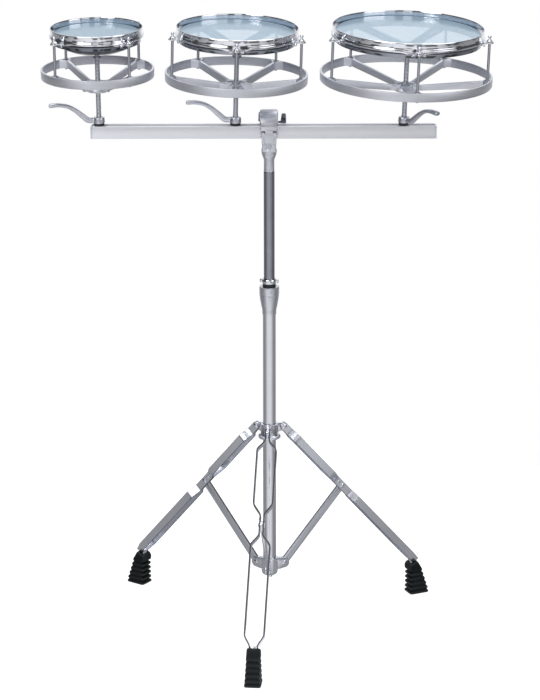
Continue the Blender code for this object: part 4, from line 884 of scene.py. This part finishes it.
def makeClampBody():
    c = clamp
    floor, wall = 892.4, 11.4
    saddle = at(slab([(-19.2, 885.0), (20.0, 885.0), (21.0, 900.0), (20.0, 903.0), (wall, 903.0), (wall, floor),
                      (-wall, floor), (-wall, 896.2), (-19.8, 896.2)], 25.4), faceSide)
    cheekShape = arc(c["hingeY"], c["hingeZ"], 4.8, -20, 200, 16) + [(-21.4, 893.0), (-19.6, 886.0), (-12.6, 886.0)]
    cheek = softened(at(slab(cheekShape, 4.2), faceSide), 0.7, 2, 45)
    cheeks = bundled(at(cheek.copy(), shift(9.9)), at(cheek.copy(), shift(-9.9)))
    apron = loft([
        [(-9.9, -19.0, 904.6), (9.9, -19.0, 904.6), (9.9, -15.6, 904.6), (-9.9, -15.6, 904.6)],
        [(-9.8, -22.0, 902.6), (9.8, -22.0, 902.6), (9.8, -15.6, 902.6), (-9.8, -15.6, 902.6)],
        [(-9.2, -22.4, 895.0), (9.2, -22.4, 895.0), (9.2, -15.6, 895.0), (-9.2, -15.6, 895.0)],
        [(-8.2, -20.6, 886.4), (8.2, -20.6, 886.4), (8.2, -15.6, 886.4), (-8.2, -15.6, 886.4)],
    ])
    apron = softened(apron, 1.2, 3, 20)
    lug = slab(arc(c["boltY"], c["boltZ"], 5.5, -90, 90, 14) + [(18.0, 898.5), (18.0, 887.5)], 3.8)
    lug = softened(at(lug, faceSide), 0.6, 2, 45)
    lugs = bundled(at(lug.copy(), shift(6.0)), at(lug.copy(), shift(-6.0)))
    neck = softened(block((-12.1, -12.1, 868.5), (12.1, 12.1, 887.5)), 2.0, 3, 40)
    ribs = []
    for place in (-3.4, 0.0, 3.4):
        for side in (-1, 1):
            ribs.append(softened(block((place - 0.9, side * 12.1 - 1.3, 871.0), (place + 0.9, side * 12.1 + 1.3, 884.0)), 0.4))
    grooved = carved(neck, bundled(*[rib.copy() for rib in ribs]))
    stem = solidLathe([(0, 874.0), (12.2, 874.0), (13.2, 871.5), (13.4, 868.0), (12.6, 863.0), (11.0, 858.0), (9.6, 855.0),
                       (9.1, 853.0), (9.0, 850.0), (9.0, 834.0), (9.3, 832.6), (7.9, 832.3), (7.9, 807.0), (0, 807.0)], 64)
    dents = []
    for spot, (azimuth, height, size) in enumerate(((-20, 861, 3.4), (24, 862, 3.0), (-8, 853, 2.6), (14, 849, 2.2),
                                                    (-26, 846, 2.0), (4, 841, 2.6))):
        ball = solidLathe([(0, size), (size * 0.7, size * 0.7), (size, 0), (size * 0.7, -size * 0.7), (0, -size)], 16)
        spread = 12.4 if height > 856 else 10.0
        dents.append(at(ball, turn(azimuth, "Z") @ shift(y=-spread - size * 0.45, z=height) @ turn(13 * spot, "X")))
    stem = carved(stem, bundled(*dents))
    pin = at(solidLathe([(0, 15.3), (1.6, 15.3), (2.0, 14.9), (2.0, -14.9), (1.6, -15.3), (0, -15.3)], 24),
             shift(y=c["hingeY"], z=c["hingeZ"]) @ turn(90, "Y"))
    body = bundled(softened(saddle, 1.0, 3, 40), cheeks, apron, lugs, softened(grooved, 0.35, 2, 45), stem, pin)
    piece("clampBody", body, "cast", "satin_metal", "mast", "clamp_body")


def makeClampBolt():
    c = clamp
    eye = softened(at(slab(arc(0, 0, 5.0, 0, 345, 23), 7.0), faceSide), 0.8, 3, 45)
    core = solidLathe([(0, c["boltLength"]), (1.9, c["boltLength"]), (2.5, c["boltLength"] - 0.7), (2.5, 3.0), (0, 3.0)], 32)
    winding = at(thread(18, 27.0, 2.5, 0.45), shift(z=11.0))
    cross = at(solidLathe([(0, 7.9), (1.6, 7.9), (1.9, 7.6), (1.9, -7.6), (1.6, -7.9), (0, -7.9)], 20), turn(90, "Y"))
    place = shift(y=c["boltY"], z=c["boltZ"])
    piece("clampBolt", at(bundled(eye, core, winding, cross), place), "steel", "leg_steel", "clamp_bolt", "clamp_bolt")
    nut = wings(7.0, 9.5, (30.5, 19.0), 18.5, 3.2)
    nut = at(nut, place @ shift(z=c["lipTop"] + 0.3 - c["boltZ"]) @ turn(-14, "Z"))
    # the wing nut takes the darkened mast chrome: painted shade
    piece("clampWingNut", nut, "mast", "chrome", "clamp_wing_nut", "clamp_wing_nut", sharp=50)


makeJaw()
makeClampBody()
makeClampBolt()
print("clamp made")


# ---- tubes and collar ----

tubes = {"upper": 9.6, "upperWall": 1.4, "upperTop": 832.0, "upperLow": 430.0, "lower": 11.6, "lowerWall": 1.6,
         "lowerTop": 596.0, "lowerLow": 88.4, "bushTop": 630.5}


def makeTubes():
    t = tubes
    inner = t["upper"] - t["upperWall"]
    upper = lathe([(t["upper"], t["upperTop"] - 0.5), (t["upper"], t["upperLow"] + 0.4), (t["upper"] - 0.4, t["upperLow"]),
                   (inner, t["upperLow"]), (inner, t["upperTop"]), (t["upper"] - 0.5, t["upperTop"])], 96)
    # the upper tube takes the darkened chrome: painted shade
    piece("upperTube", upper, "mast", "chrome", "mast", "upper_tube")
    inner = t["lower"] - t["lowerWall"]
    lower = lathe([(t["lower"], t["lowerTop"]), (t["lower"], t["lowerLow"]), (inner, t["lowerLow"]), (inner, t["lowerTop"])], 96)
    piece("lowerTube", lower, "tube", "chrome", "stand", "lower_tube")
    low = t["bushTop"] + 0.3
    lock = lathe([(9.9, low), (12.6, low), (13.2, low + 0.8), (13.2, low + 6.6), (12.2, low + 8.0), (9.9, low + 8.0)], 64)
    lock = carved(lock, at(block((8, -0.9, low - 1), (15, 0.9, low + 9)), turn(84, "Z")))
    tab = softened(slab([(11.0, -3.4), (15.0, -3.4), (16.6, -2.2), (16.8, 0.0), (16.6, 2.2), (15.0, 3.4), (11.0, 3.4)], 6.2), 0.7)
    tab = at(tab, shift(z=low + 4.0))
    tabs = bundled(at(tab.copy(), turn(-12, "Z")), at(tab.copy(), turn(168, "Z")))
    screw = at(solidLathe([(0, 2.6), (1.8, 2.6), (2.2, 2.2), (2.2, 0), (0, 0)], 20), shift(0, -13.0, low + 4.0) @ turn(90, "X"))
    piece("memoryLock", bundled(lock, tabs, screw), "chrome", "leg_steel", "mast", "memory_lock")
    bush = lathe([(9.9, 630.4), (10.6, 630.5), (11.1, 630.0), (11.3, 629.2), (11.3, 617.7), (14.0, 617.7), (14.0, 597.6),
                  (9.9, 597.6)], 64)
    piece("collarBush", bush, "black", "black_plastic", "collar_bush", "collar_bush")
    collar = lathe([(16.8, 625.0), (17.5, 624.4), (17.6, 623.2), (17.5, 611.2), (17.2, 610.5), (16.6, 610.1), (16.6, 609.5),
                    (17.1, 609.0), (16.9, 606.0), (16.0, 599.0), (15.0, 594.0), (14.4, 590.0), (13.4, 586.0), (12.7, 583.0),
                    (12.5, 580.5), (12.5, 574.8), (12.2, 574.0), (11.9, 574.0), (11.9, 596.3), (14.3, 596.3),
                    (14.3, 618.0), (11.6, 618.0), (11.6, 624.3), (12.4, 625.0)], 96)
    boss = at(solidLathe([(0, 22.0), (5.2, 22.0), (6.0, 21.2), (6.4, 15.5), (0, 15.5)], 40), shift(z=610) @ turn(-90, "X"))
    bore = at(solidLathe([(0, 24.0), (3.3, 24.0), (3.3, 14.6), (0, 14.6)], 32), shift(z=610) @ turn(-90, "X"))
    split = block((-0.7, 11.0, 600.0), (0.7, 15.0, 626.0))
    collar = carved(fused(collar, boss), bore, at(split, turn(24, "Z")))
    dot = at(solidLathe([(0, 0.5), (1.2, 0.5), (1.5, 0.2), (1.5, -1.0), (0, -1.0)], 20), shift(0, -17.0, 609.9) @ turn(90, "X"))
    piece("tubeCollar", softened(collar, 0.3, 2, 50), "satin", "satin_metal", "stand", "tube_collar")
    piece("collarDimple", dot, "steel", "leg_steel", "stand")
    shaft = solidLathe([(0, 2.0), (3.0, 2.0), (3.0, -5.6), (2.6, -6.0), (0, -6.0)], 28)
    screw = bundled(wings(6.0, 8.0, (17.0, 17.0), 11.0), shaft)
    piece("collarScrew", at(screw, shift(0, 22.4, 610.0) @ turn(-90, "X")), "chrome", "chrome", "collar_screw",
          "collar_screw", sharp=50)


makeTubes()
print("tubes made")


# ---- leg hub, lower hub, legs and boots ----

legs = {"azimuths": {"front": 5.5, "left": 125.5, "right": -114.5}, "pivotRadius": 27.4, "pivotHeight": 361.7,
        "angle": 41.4, "brace": 173.0, "width": 13.8, "thickness": 2.4, "wide": 36.0, "lug": 4.4,
        "length": 398.0, "pinch": 16.0, "footRadius": 298.1}
pivotLow = legs["pivotHeight"] - 2 * legs["brace"] * math.cos(math.radians(legs["angle"]))


def rivet(reach, shank=2.5, head=4.6, dome=2.0):
    cap = [(head, reach), (head * 0.92, reach + dome * 0.45), (head * 0.6, reach + dome * 0.85), (0, reach + dome)]
    return at(solidLathe([(r, -z) for r, z in cap[::-1]] + [(shank, -reach), (shank, reach)] + cap, 28), turn(90, "X"))


def makeLegHub():
    top, bottom = 371.1, 344.8
    body = lathe([(11.9, top), (14.6, top), (15.3, top - 0.5), (15.5, top - 1.4), (15.5, bottom + 6.4), (16.2, bottom + 5.2),
                  (18.6, bottom + 4.6), (19.5, bottom + 3.6), (19.5, bottom + 0.8), (18.9, bottom), (11.9, bottom)], 72)
    lug = slab([(14.0, -9.5)] + arc(27.4, 0, 6.3, -75, 75, 16) + [(14.0, 8.0)], 4.4, [arc(27.4, 0, 2.75, 0, 345, 23)])
    lug = softened(at(lug, standUp @ shift(y=0)), 0.5, 2, 50)
    first = -90 - legs["azimuths"]["front"]
    lugs = at(around(lug, 3, first, "plate"), shift(z=legs["pivotHeight"]))
    screwTurn = -90 - 185.5
    boss = at(solidLathe([(0, 18.5), (4.4, 18.5), (5.0, 17.9), (5.3, 14.0), (0, 14.0)], 32),
              turn(screwTurn, "Z") @ shift(z=361.7) @ turn(90, "Y"))
    hole = at(solidLathe([(0, 20.5), (2.8, 20.5), (2.8, 13.6), (0, 13.6)], 28), turn(screwTurn, "Z") @ shift(z=361.7) @ turn(90, "Y"))
    body = fused(body, boss)
    dimple = at(solidLathe([(0, 1.5), (1.5, 1.5), (1.5, -1.5), (0, -1.5)], 16), shift(13.6, 0, top))
    dimples = around(dimple, 6, first + 30, "plate")
    body = softened(carved(body, hole, dimples), 0.25, 2, 50)
    piece("legHub", bundled(body, lugs), "plate", "leg_steel", "leg_hub", "leg_hub")
    shaft = solidLathe([(0, 2.0), (2.5, 2.0), (2.5, -4.2), (2.2, -4.5), (0, -4.5)], 24)
    screw = bundled(wings(5.0, 7.0, (15.0, 15.0), 10.0), shaft)
    screw = at(screw, turn(screwTurn, "Z") @ shift(18.9, 0, 361.7) @ turn(90, "Y"))
    piece("legHubScrew", screw, "chrome", "chrome", "leg_hub_screw", "leg_hub_screw", sharp=50)


def makeLowerHub():
    top, bottom, radius = 117.0, 85.0, 14.6
    sleeve = solidLathe([(0, bottom + 3.0), (11.9, bottom + 3.0), (11.9, top), (13.9, top), (14.6, top - 0.7), (14.6, bottom + 6.0),
                         (13.8, bottom + 2.4), (12.2, bottom + 0.5), (10.0, bottom), (0, bottom)], 72)
    ear = slab([(radius - 1.5, -10.6), (20.0, -10.4)] + arc(27.4, 0, 9.5, -68, 68, 18) + [(20.0, 10.4), (radius - 1.5, 11.4)], 2.0)
    ear = softened(at(ear, standUp), 0.5, 2, 50)
    side = legs["lug"] / 2 + 1.3
    pair = bundled(at(ear.copy(), shift(y=side)), at(ear.copy(), shift(y=-side)))
    pin = at(rivet(side + 0.7), shift(27.4))
    first = -90 - legs["azimuths"]["front"]
    ears = at(around(bundled(pair, pin), 3, first, "plate"), shift(z=pivotLow))
    bolt = softened(at(slab(arc(0, 0, 5.2, 0, 300, 5), 6.6), shift(z=82.2)), 0.7, 2, 45)
    piece("lowerHub", bundled(sleeve, ears, bolt), "plate", "leg_steel", "stand", "lower_hub")


def stripSide(distance):
    inset = legs["thickness"] / 2
    wide = legs["wide"] / 2 - inset
    narrow = legs["lug"] / 2 + 2.3 - inset
    pinch = legs["pinch"] / 2 - inset
    knots = [(0.0, narrow), (15.2, narrow), (33.4, wide), (133.3, wide), (155.9, narrow), (191.5, narrow),
             (211.5, wide), (376.0, wide), (396.0, pinch), (398.0, pinch)]
    for (start, low), (end, high) in zip(knots, knots[1:]):
        if distance <= end:
            share = max((distance - start) / (end - start), 0.0)
            # straight slopes with short bends at both ends
            eased = (share * share * (3 - 2 * share) + share) / 2
            return low + (high - low) * eased
    return pinch


def strip(side):
    half, thick = legs["width"] / 2, legs["thickness"] / 2
    stations = [-half * math.cos(math.radians(angle)) for angle in range(0, 91, 10)]
    distance = 0.0
    while distance < legs["length"]:
        distance += 2.0
        stations.append(distance)
    sections = []
    for s in stations:
        width = half if s >= 0 else math.sqrt(max(half ** 2 - s ** 2, 0.04))
        middle = stripSide(max(s, 0))
        slope = (stripSide(max(s + 0.5, 0)) - stripSide(max(s - 0.5, 0)))
        length = math.hypot(1.0, slope)
        normal = (1.0 / length, slope / length)
        corner = min(0.5, width * 0.3)
        ring = [(-width, -thick + corner), (-width + corner, -thick), (width - corner, -thick), (width, -thick + corner),
                (width, thick - corner), (width - corner, thick), (-width + corner, thick), (-width, thick - corner)]
        sections.append([(x, side * (middle + n * normal[0]), -s + n * normal[1]) for x, n in ring])
    mesh = loft(sections)
    mesh.materials.append(finishes["plate"])
    mesh.materials.append(finishes["stripSideShade"])
    # the strips' narrow side faces take the near-black finish: painted shade
    for face in mesh.polygons:
        face.material_index = 1 if abs(face.normal.x) > 0.5 else 0
    return mesh


bootSections = [
    ((-20.0, 0.0), (16.8, 0.0), 14.4), ((-20.3, 0.4), (17.1, 0.4), 14.7), ((-20.3, 2.8), (17.1, 2.8), 14.6),
    ((-19.6, 3.5), (16.6, 3.5), 14.2), ((-17.0, 4.5), (15.2, 4.4), 12.9), ((-16.8, 7.0), (14.9, 6.6), 12.8),
]
for level in range(4):
    # ribs that narrow upward, deeper at the side of the stand
    rise, back, half = 9.0 * level, 2.9 * level, 14.0 - 0.38 * level
    bootSections += [
        ((-19.4, 8.2 + rise), (16.0 - back, 7.6 + rise), half - 0.3), ((-20.1, 9.0 + rise), (16.3 - back, 8.6 + rise), half),
        ((-20.1, 11.6 + rise), (15.8 - back, 11.0 + rise), half - 0.1), ((-19.4, 12.4 + rise), (15.0 - back, 12.0 + rise), half - 0.4),
        ((-16.2, 13.6 + rise), (13.4 - back, 13.2 + rise), half - 1.6), ((-16.0, 16.2 + rise), (12.8 - back, 15.6 + rise), half - 1.7),
    ]
bootSections += [
    ((-20.4, 44.8), (5.0, 44.6), 12.6), ((-21.2, 46.6), (5.1, 46.0), 12.6), ((-21.8, 50.6), (3.2, 49.2), 12.4),
    ((-21.4, 53.6), (0.1, 54.8), 12.2), ((-19.6, 56.4), (-3.1, 60.0), 12.1), ((-18.4, 57.4), (-5.2, 62.4), 11.6),
    ((-17.2, 58.0), (-7.3, 63.6), 10.6), ((-16.2, 55.6), (-6.7, 60.8), 9.4), ((-15.2, 50.0), (-5.6, 55.6), 9.0),
]


def bootForm():
    sections = []
    for (innerU, innerZ), (outerU, outerZ), half in bootSections:
        centre = ((innerU + outerU) / 2, (innerZ + outerZ) / 2)
        reach = ((outerU - innerU) / 2, (outerZ - innerZ) / 2)
        section = []
        for corner in range(36):
            angle = math.tau * corner / 36
            along = math.copysign(abs(math.cos(angle)) ** 0.22, math.cos(angle))
            across = math.copysign(abs(math.sin(angle)) ** 0.22, math.sin(angle))
            section.append((centre[0] + along * reach[0], across * half, centre[1] + along * reach[1]))
        sections.append(section)
    return loft(sections)


def makeLegs():
    pivot = legs["pivotRadius"]
    lean = turn(-legs["angle"], "Y")
    side = legs["lug"] / 2 + 2.3
    contact = shift(legs["footRadius"] - pivot, 0, -legs["pivotHeight"])
    bootInLeg = lean.inverted() @ contact
    half = legs["width"] / 2
    strips = bundled(strip(1), strip(-1))
    pin = rivet(side - 0.1)
    knob = solidLathe([(0, 2.0), (2.8, 1.7), (4.2, 0.9), (4.6, -0.1), (0, -0.1)], 28)
    small = solidLathe([(0, 1.2), (1.6, 1.0), (2.5, 0.4), (2.6, -0.1), (0, -0.1)], 24)
    knobs = []
    for way in (1, -1):
        out = turn(-90 * way, "X")
        knobs.append(at(knob.copy(), shift(0, way * side, -legs["brace"]) @ out))
        knobs.append(at(small.copy(), shift(0, way * side, -161.0) @ out))
    stem = slab([(-15.0, 64.0), (-8.5, 66.0), (-2.0, 50.0), (-2.0, 36.0), (-11.0, 36.0), (-16.0, 52.0)][::-1], 12.0)
    stem = at(softened(at(stem, standUp), 0.8), bootInLeg)
    legShape = bundled(strips, pin, stem, *knobs)
    bootShape = at(bootForm(), bootInLeg)
    outline = arc(0, 0, half, 180, 360, 20) + arc(0, legs["brace"], half, 0, 180, 20)
    holes = [arc(0, 0, 2.75, 0, 345, 23), arc(0, legs["brace"], 2.75, 0, 345, 23)]
    strutShape = softened(at(slab(outline, legs["lug"], holes), standUp), 0.6, 2, 50)
    for name, azimuth in legs["azimuths"].items():
        spin = turn(-90 - azimuth, "Z")
        place = spin @ shift(pivot, 0, legs["pivotHeight"]) @ lean
        piece("leg" + name.title(), at(legShape.copy(), place), "plate", "leg_steel", "leg_" + name, "leg_" + name,
              edge="stripSideShade")
        piece("boot" + name.title(), at(bootShape.copy(), place), "rubber", "boot_rubber", "leg_" + name, "boot_" + name, sharp=32)
        strutPlace = spin @ shift(pivot, 0, pivotLow) @ turn(legs["angle"], "Y")
        piece("strut" + name.title(), at(strutShape.copy(), strutPlace), "plate", "leg_steel", "strut_" + name, "strut_" + name)


makeLegHub()
makeLowerHub()
makeLegs()
print("legs made")


# ---- studio: floor, world, lamps and camera ----

studio = {
    "panels": ((-34.0, 8.0), (0.0, 7.0), (30.0, 10.0)),
    "panelLow": 0.08,
    "panelHigh": 0.60,
    "panelLight": 1.05,
    "topLight": 0.80,
    "room": 0.07,
    # the floor far out, in front and at the sides
    "farFront": 1.02,
    "farSide": 0.34,
    "streaks": 0.80,
    "floorRadius": 1.0,
    "floorColour": 0.50,
    "floorSeen": 0.80,
    "lampPower": (52.0, 20.0, 24.0),
    "worldFill": 0.55,
}


def mathNode(tree, operation, first, second=None, clamp=False):
    node = tree.nodes.new("ShaderNodeMath")
    node.operation = operation
    node.use_clamp = clamp
    for slot, value in enumerate((first, second)):
        if value is None:
            continue
        if isinstance(value, (int, float)):
            node.inputs[slot].default_value = value
        else:
            tree.links.new(value, node.inputs[slot])
    return node.outputs[0]


def ramp(tree, value, low, high):
    node = tree.nodes.new("ShaderNodeMapRange")
    node.interpolation_type = "SMOOTHSTEP"
    node.inputs["From Min"].default_value = low
    node.inputs["From Max"].default_value = high
    tree.links.new(value, node.inputs["Value"])
    return node.outputs[0]


def frontLight(tree, azimuth):
    # what chrome finds on the floor: bright in front of the stand, dark at its sides
    sideways = ramp(tree, mathNode(tree, "ABSOLUTE", mathNode(tree, "ADD", azimuth, 0.03)), 0.30, 1.45)
    drop = mathNode(tree, "MULTIPLY", sideways, studio["farFront"] - studio["farSide"])
    return mathNode(tree, "SUBTRACT", studio["farFront"], drop)


def makeWorld():
    world = bpy.data.worlds.new("studio")
    scene.world = world
    world.use_nodes = True
    tree = world.node_tree
    back = tree.nodes["Background"]
    place = tree.nodes.new("ShaderNodeTexCoord")
    split = tree.nodes.new("ShaderNodeSeparateXYZ")
    tree.links.new(place.outputs["Generated"], split.inputs[0])
    x, y, z = split.outputs
    azimuth = mathNode(tree, "ARCTAN2", x, mathNode(tree, "MULTIPLY", y, -1.0))
    behind = ramp(tree, mathNode(tree, "ABSOLUTE", azimuth), 2.2, 2.75)
    light = None
    for centre, half in studio["panels"]:
        offset = mathNode(tree, "ABSOLUTE", mathNode(tree, "SUBTRACT", azimuth, math.radians(centre)))
        shape = mathNode(tree, "SUBTRACT", 1.0, ramp(tree, offset, math.radians(half - 1.5), math.radians(half + 1.5)))
        light = shape if light is None else mathNode(tree, "MAXIMUM", light, shape)
    band = mathNode(tree, "MULTIPLY", ramp(tree, z, studio["panelLow"] - 0.02, studio["panelLow"] + 0.02),
                    mathNode(tree, "SUBTRACT", 1.0, ramp(tree, z, studio["panelHigh"] - 0.02, studio["panelHigh"] + 0.02)))
    panels = mathNode(tree, "MULTIPLY", mathNode(tree, "MULTIPLY", light, band), studio["panelLight"])
    top = mathNode(tree, "MULTIPLY", ramp(tree, z, 0.66, 0.80), studio["topLight"])
    below = mathNode(tree, "SUBTRACT", 1.0, ramp(tree, z, -0.10, -0.02))
    far = mathNode(tree, "MULTIPLY", below, frontLight(tree, azimuth))
    # upright dark things that stand about in the studio
    spot = tree.nodes.new("ShaderNodeCombineXYZ")
    tree.links.new(azimuth, spot.inputs["X"])
    tree.links.new(mathNode(tree, "MULTIPLY", z, 0.10), spot.inputs["Y"])
    crowd = tree.nodes.new("ShaderNodeTexNoise")
    crowd.inputs["Scale"].default_value = 2.6
    crowd.inputs["Detail"].default_value = 1.0
    tree.links.new(spot.outputs[0], crowd.inputs["Vector"])
    level = ramp(tree, mathNode(tree, "ABSOLUTE", mathNode(tree, "ADD", z, 0.31)), 0.05, 0.11)
    streak = mathNode(tree, "MULTIPLY", ramp(tree, crowd.outputs["Fac"], 0.48, 0.56), studio["streaks"])
    streak = mathNode(tree, "MULTIPLY", streak, level)
    far = mathNode(tree, "MULTIPLY", far, mathNode(tree, "SUBTRACT", 1.0, streak))
    front = mathNode(tree, "MAXIMUM", mathNode(tree, "MAXIMUM", panels, top), mathNode(tree, "MAXIMUM", far, studio["room"]))
    behind = mathNode(tree, "MULTIPLY", behind, ramp(tree, z, -0.52, -0.42))
    total = tree.nodes.new("ShaderNodeMix")
    total.data_type = "FLOAT"
    tree.links.new(behind, total.inputs["Factor"])
    tree.links.new(front, total.inputs["A"])
    total.inputs["B"].default_value = 0.96
    rays = tree.nodes.new("ShaderNodeLightPath")
    fill = tree.nodes.new("ShaderNodeMix")
    fill.data_type = "FLOAT"
    tree.links.new(rays.outputs["Is Glossy Ray"], fill.inputs["Factor"])
    fill.inputs["A"].default_value = studio["worldFill"]
    tree.links.new(total.outputs["Result"], fill.inputs["B"])
    seen = mathNode(tree, "MAXIMUM", rays.outputs["Is Camera Ray"], rays.outputs["Is Transmission Ray"])
    strength = tree.nodes.new("ShaderNodeMix")
    strength.data_type = "FLOAT"
    tree.links.new(seen, strength.inputs["Factor"])
    tree.links.new(fill.outputs["Result"], strength.inputs["A"])
    strength.inputs["B"].default_value = 1.0
    back.inputs["Color"].default_value = (1.0, 1.0, 1.0, 1.0)
    tree.links.new(strength.outputs["Result"], back.inputs["Strength"])


def makeFloor():
    points = [(studio["floorRadius"] * math.cos(math.tau * i / 64), studio["floorRadius"] * math.sin(math.tau * i / 64), 0.0)
              for i in range(64)]
    mesh = bpy.data.meshes.new("floor")
    mesh.from_pydata(points, [], [tuple(range(64))])
    floor = bpy.data.objects.new("floor", mesh)
    scene.collection.objects.link(floor)
    material = bpy.data.materials.new("paleFloor")
    material.use_nodes = True
    tree = material.node_tree
    tree.nodes.remove(tree.nodes["Principled BSDF"])
    out = tree.nodes["Material Output"]
    matt = tree.nodes.new("ShaderNodeBsdfDiffuse")
    matt.inputs["Color"].default_value = (*[studio["floorColour"]] * 3, 1.0)
    glow = tree.nodes.new("ShaderNodeEmission")
    glow.inputs["Color"].default_value = (1.0, 1.0, 1.0, 1.0)
    rays = tree.nodes.new("ShaderNodeLightPath")
    seen = mathNode(tree, "MAXIMUM", rays.outputs["Is Camera Ray"], rays.outputs["Is Transmission Ray"])
    tree.links.new(mathNode(tree, "MULTIPLY", seen, studio["floorSeen"]), glow.inputs["Strength"])
    both = tree.nodes.new("ShaderNodeAddShader")
    tree.links.new(matt.outputs[0], both.inputs[0])
    tree.links.new(glow.outputs[0], both.inputs[1])
    place = tree.nodes.new("ShaderNodeTexCoord")
    split = tree.nodes.new("ShaderNodeSeparateXYZ")
    tree.links.new(place.outputs["Object"], split.inputs[0])
    azimuth = mathNode(tree, "ARCTAN2", split.outputs["X"], mathNode(tree, "MULTIPLY", split.outputs["Y"], -1.0))
    mirror = tree.nodes.new("ShaderNodeEmission")
    mirror.inputs["Color"].default_value = (1.0, 1.0, 1.0, 1.0)
    tree.links.new(frontLight(tree, azimuth), mirror.inputs["Strength"])
    choice = tree.nodes.new("ShaderNodeMixShader")
    tree.links.new(rays.outputs["Is Glossy Ray"], choice.inputs["Fac"])
    tree.links.new(both.outputs[0], choice.inputs[1])
    tree.links.new(mirror.outputs[0], choice.inputs[2])
    tree.links.new(choice.outputs[0], out.inputs["Surface"])
    mesh.materials.append(material)


def makeLamp(name, place, target, size, power):
    data = bpy.data.lights.new(name, "AREA")
    data.shape = "DISK"
    data.size = size
    data.energy = power
    lamp = bpy.data.objects.new(name, data)
    lamp.location = place
    lamp.rotation_euler = (Vector(target) - Vector(place)).to_track_quat("-Z", "Y").to_euler()
    scene.collection.objects.link(lamp)


def makeCamera():
    data = bpy.data.cameras.new("camera")
    data.sensor_fit = "VERTICAL"
    data.sensor_height = 36.0
    data.lens = 3303.0 / 700.0 * 36.0
    data.clip_end = 50.0
    camera = bpy.data.objects.new("camera", data)
    place = Matrix.Translation((tubeMiddle.x + 0.004, tubeMiddle.y - 5.513, 2.324))
    camera.matrix_world = place @ turn(0.03, "Z") @ turn(90 - 18.24, "X") @ turn(-0.08, "Z")
    scene.collection.objects.link(camera)
    scene.camera = camera


makeWorld()
makeFloor()
makeLamp("keyLamp", (-1.9, -2.6, 3.1), (0, 0, 0.8), 2.2, studio["lampPower"][0])
makeLamp("fillLamp", (2.6, -1.6, 1.9), (0, 0, 0.7), 2.0, studio["lampPower"][1])
makeLamp("topLamp", (0.2, 0.6, 3.4), (0, 0, 0.6), 2.4, studio["lampPower"][2])
makeCamera()
scene.view_settings.view_transform = "Standard"
print("studio made")
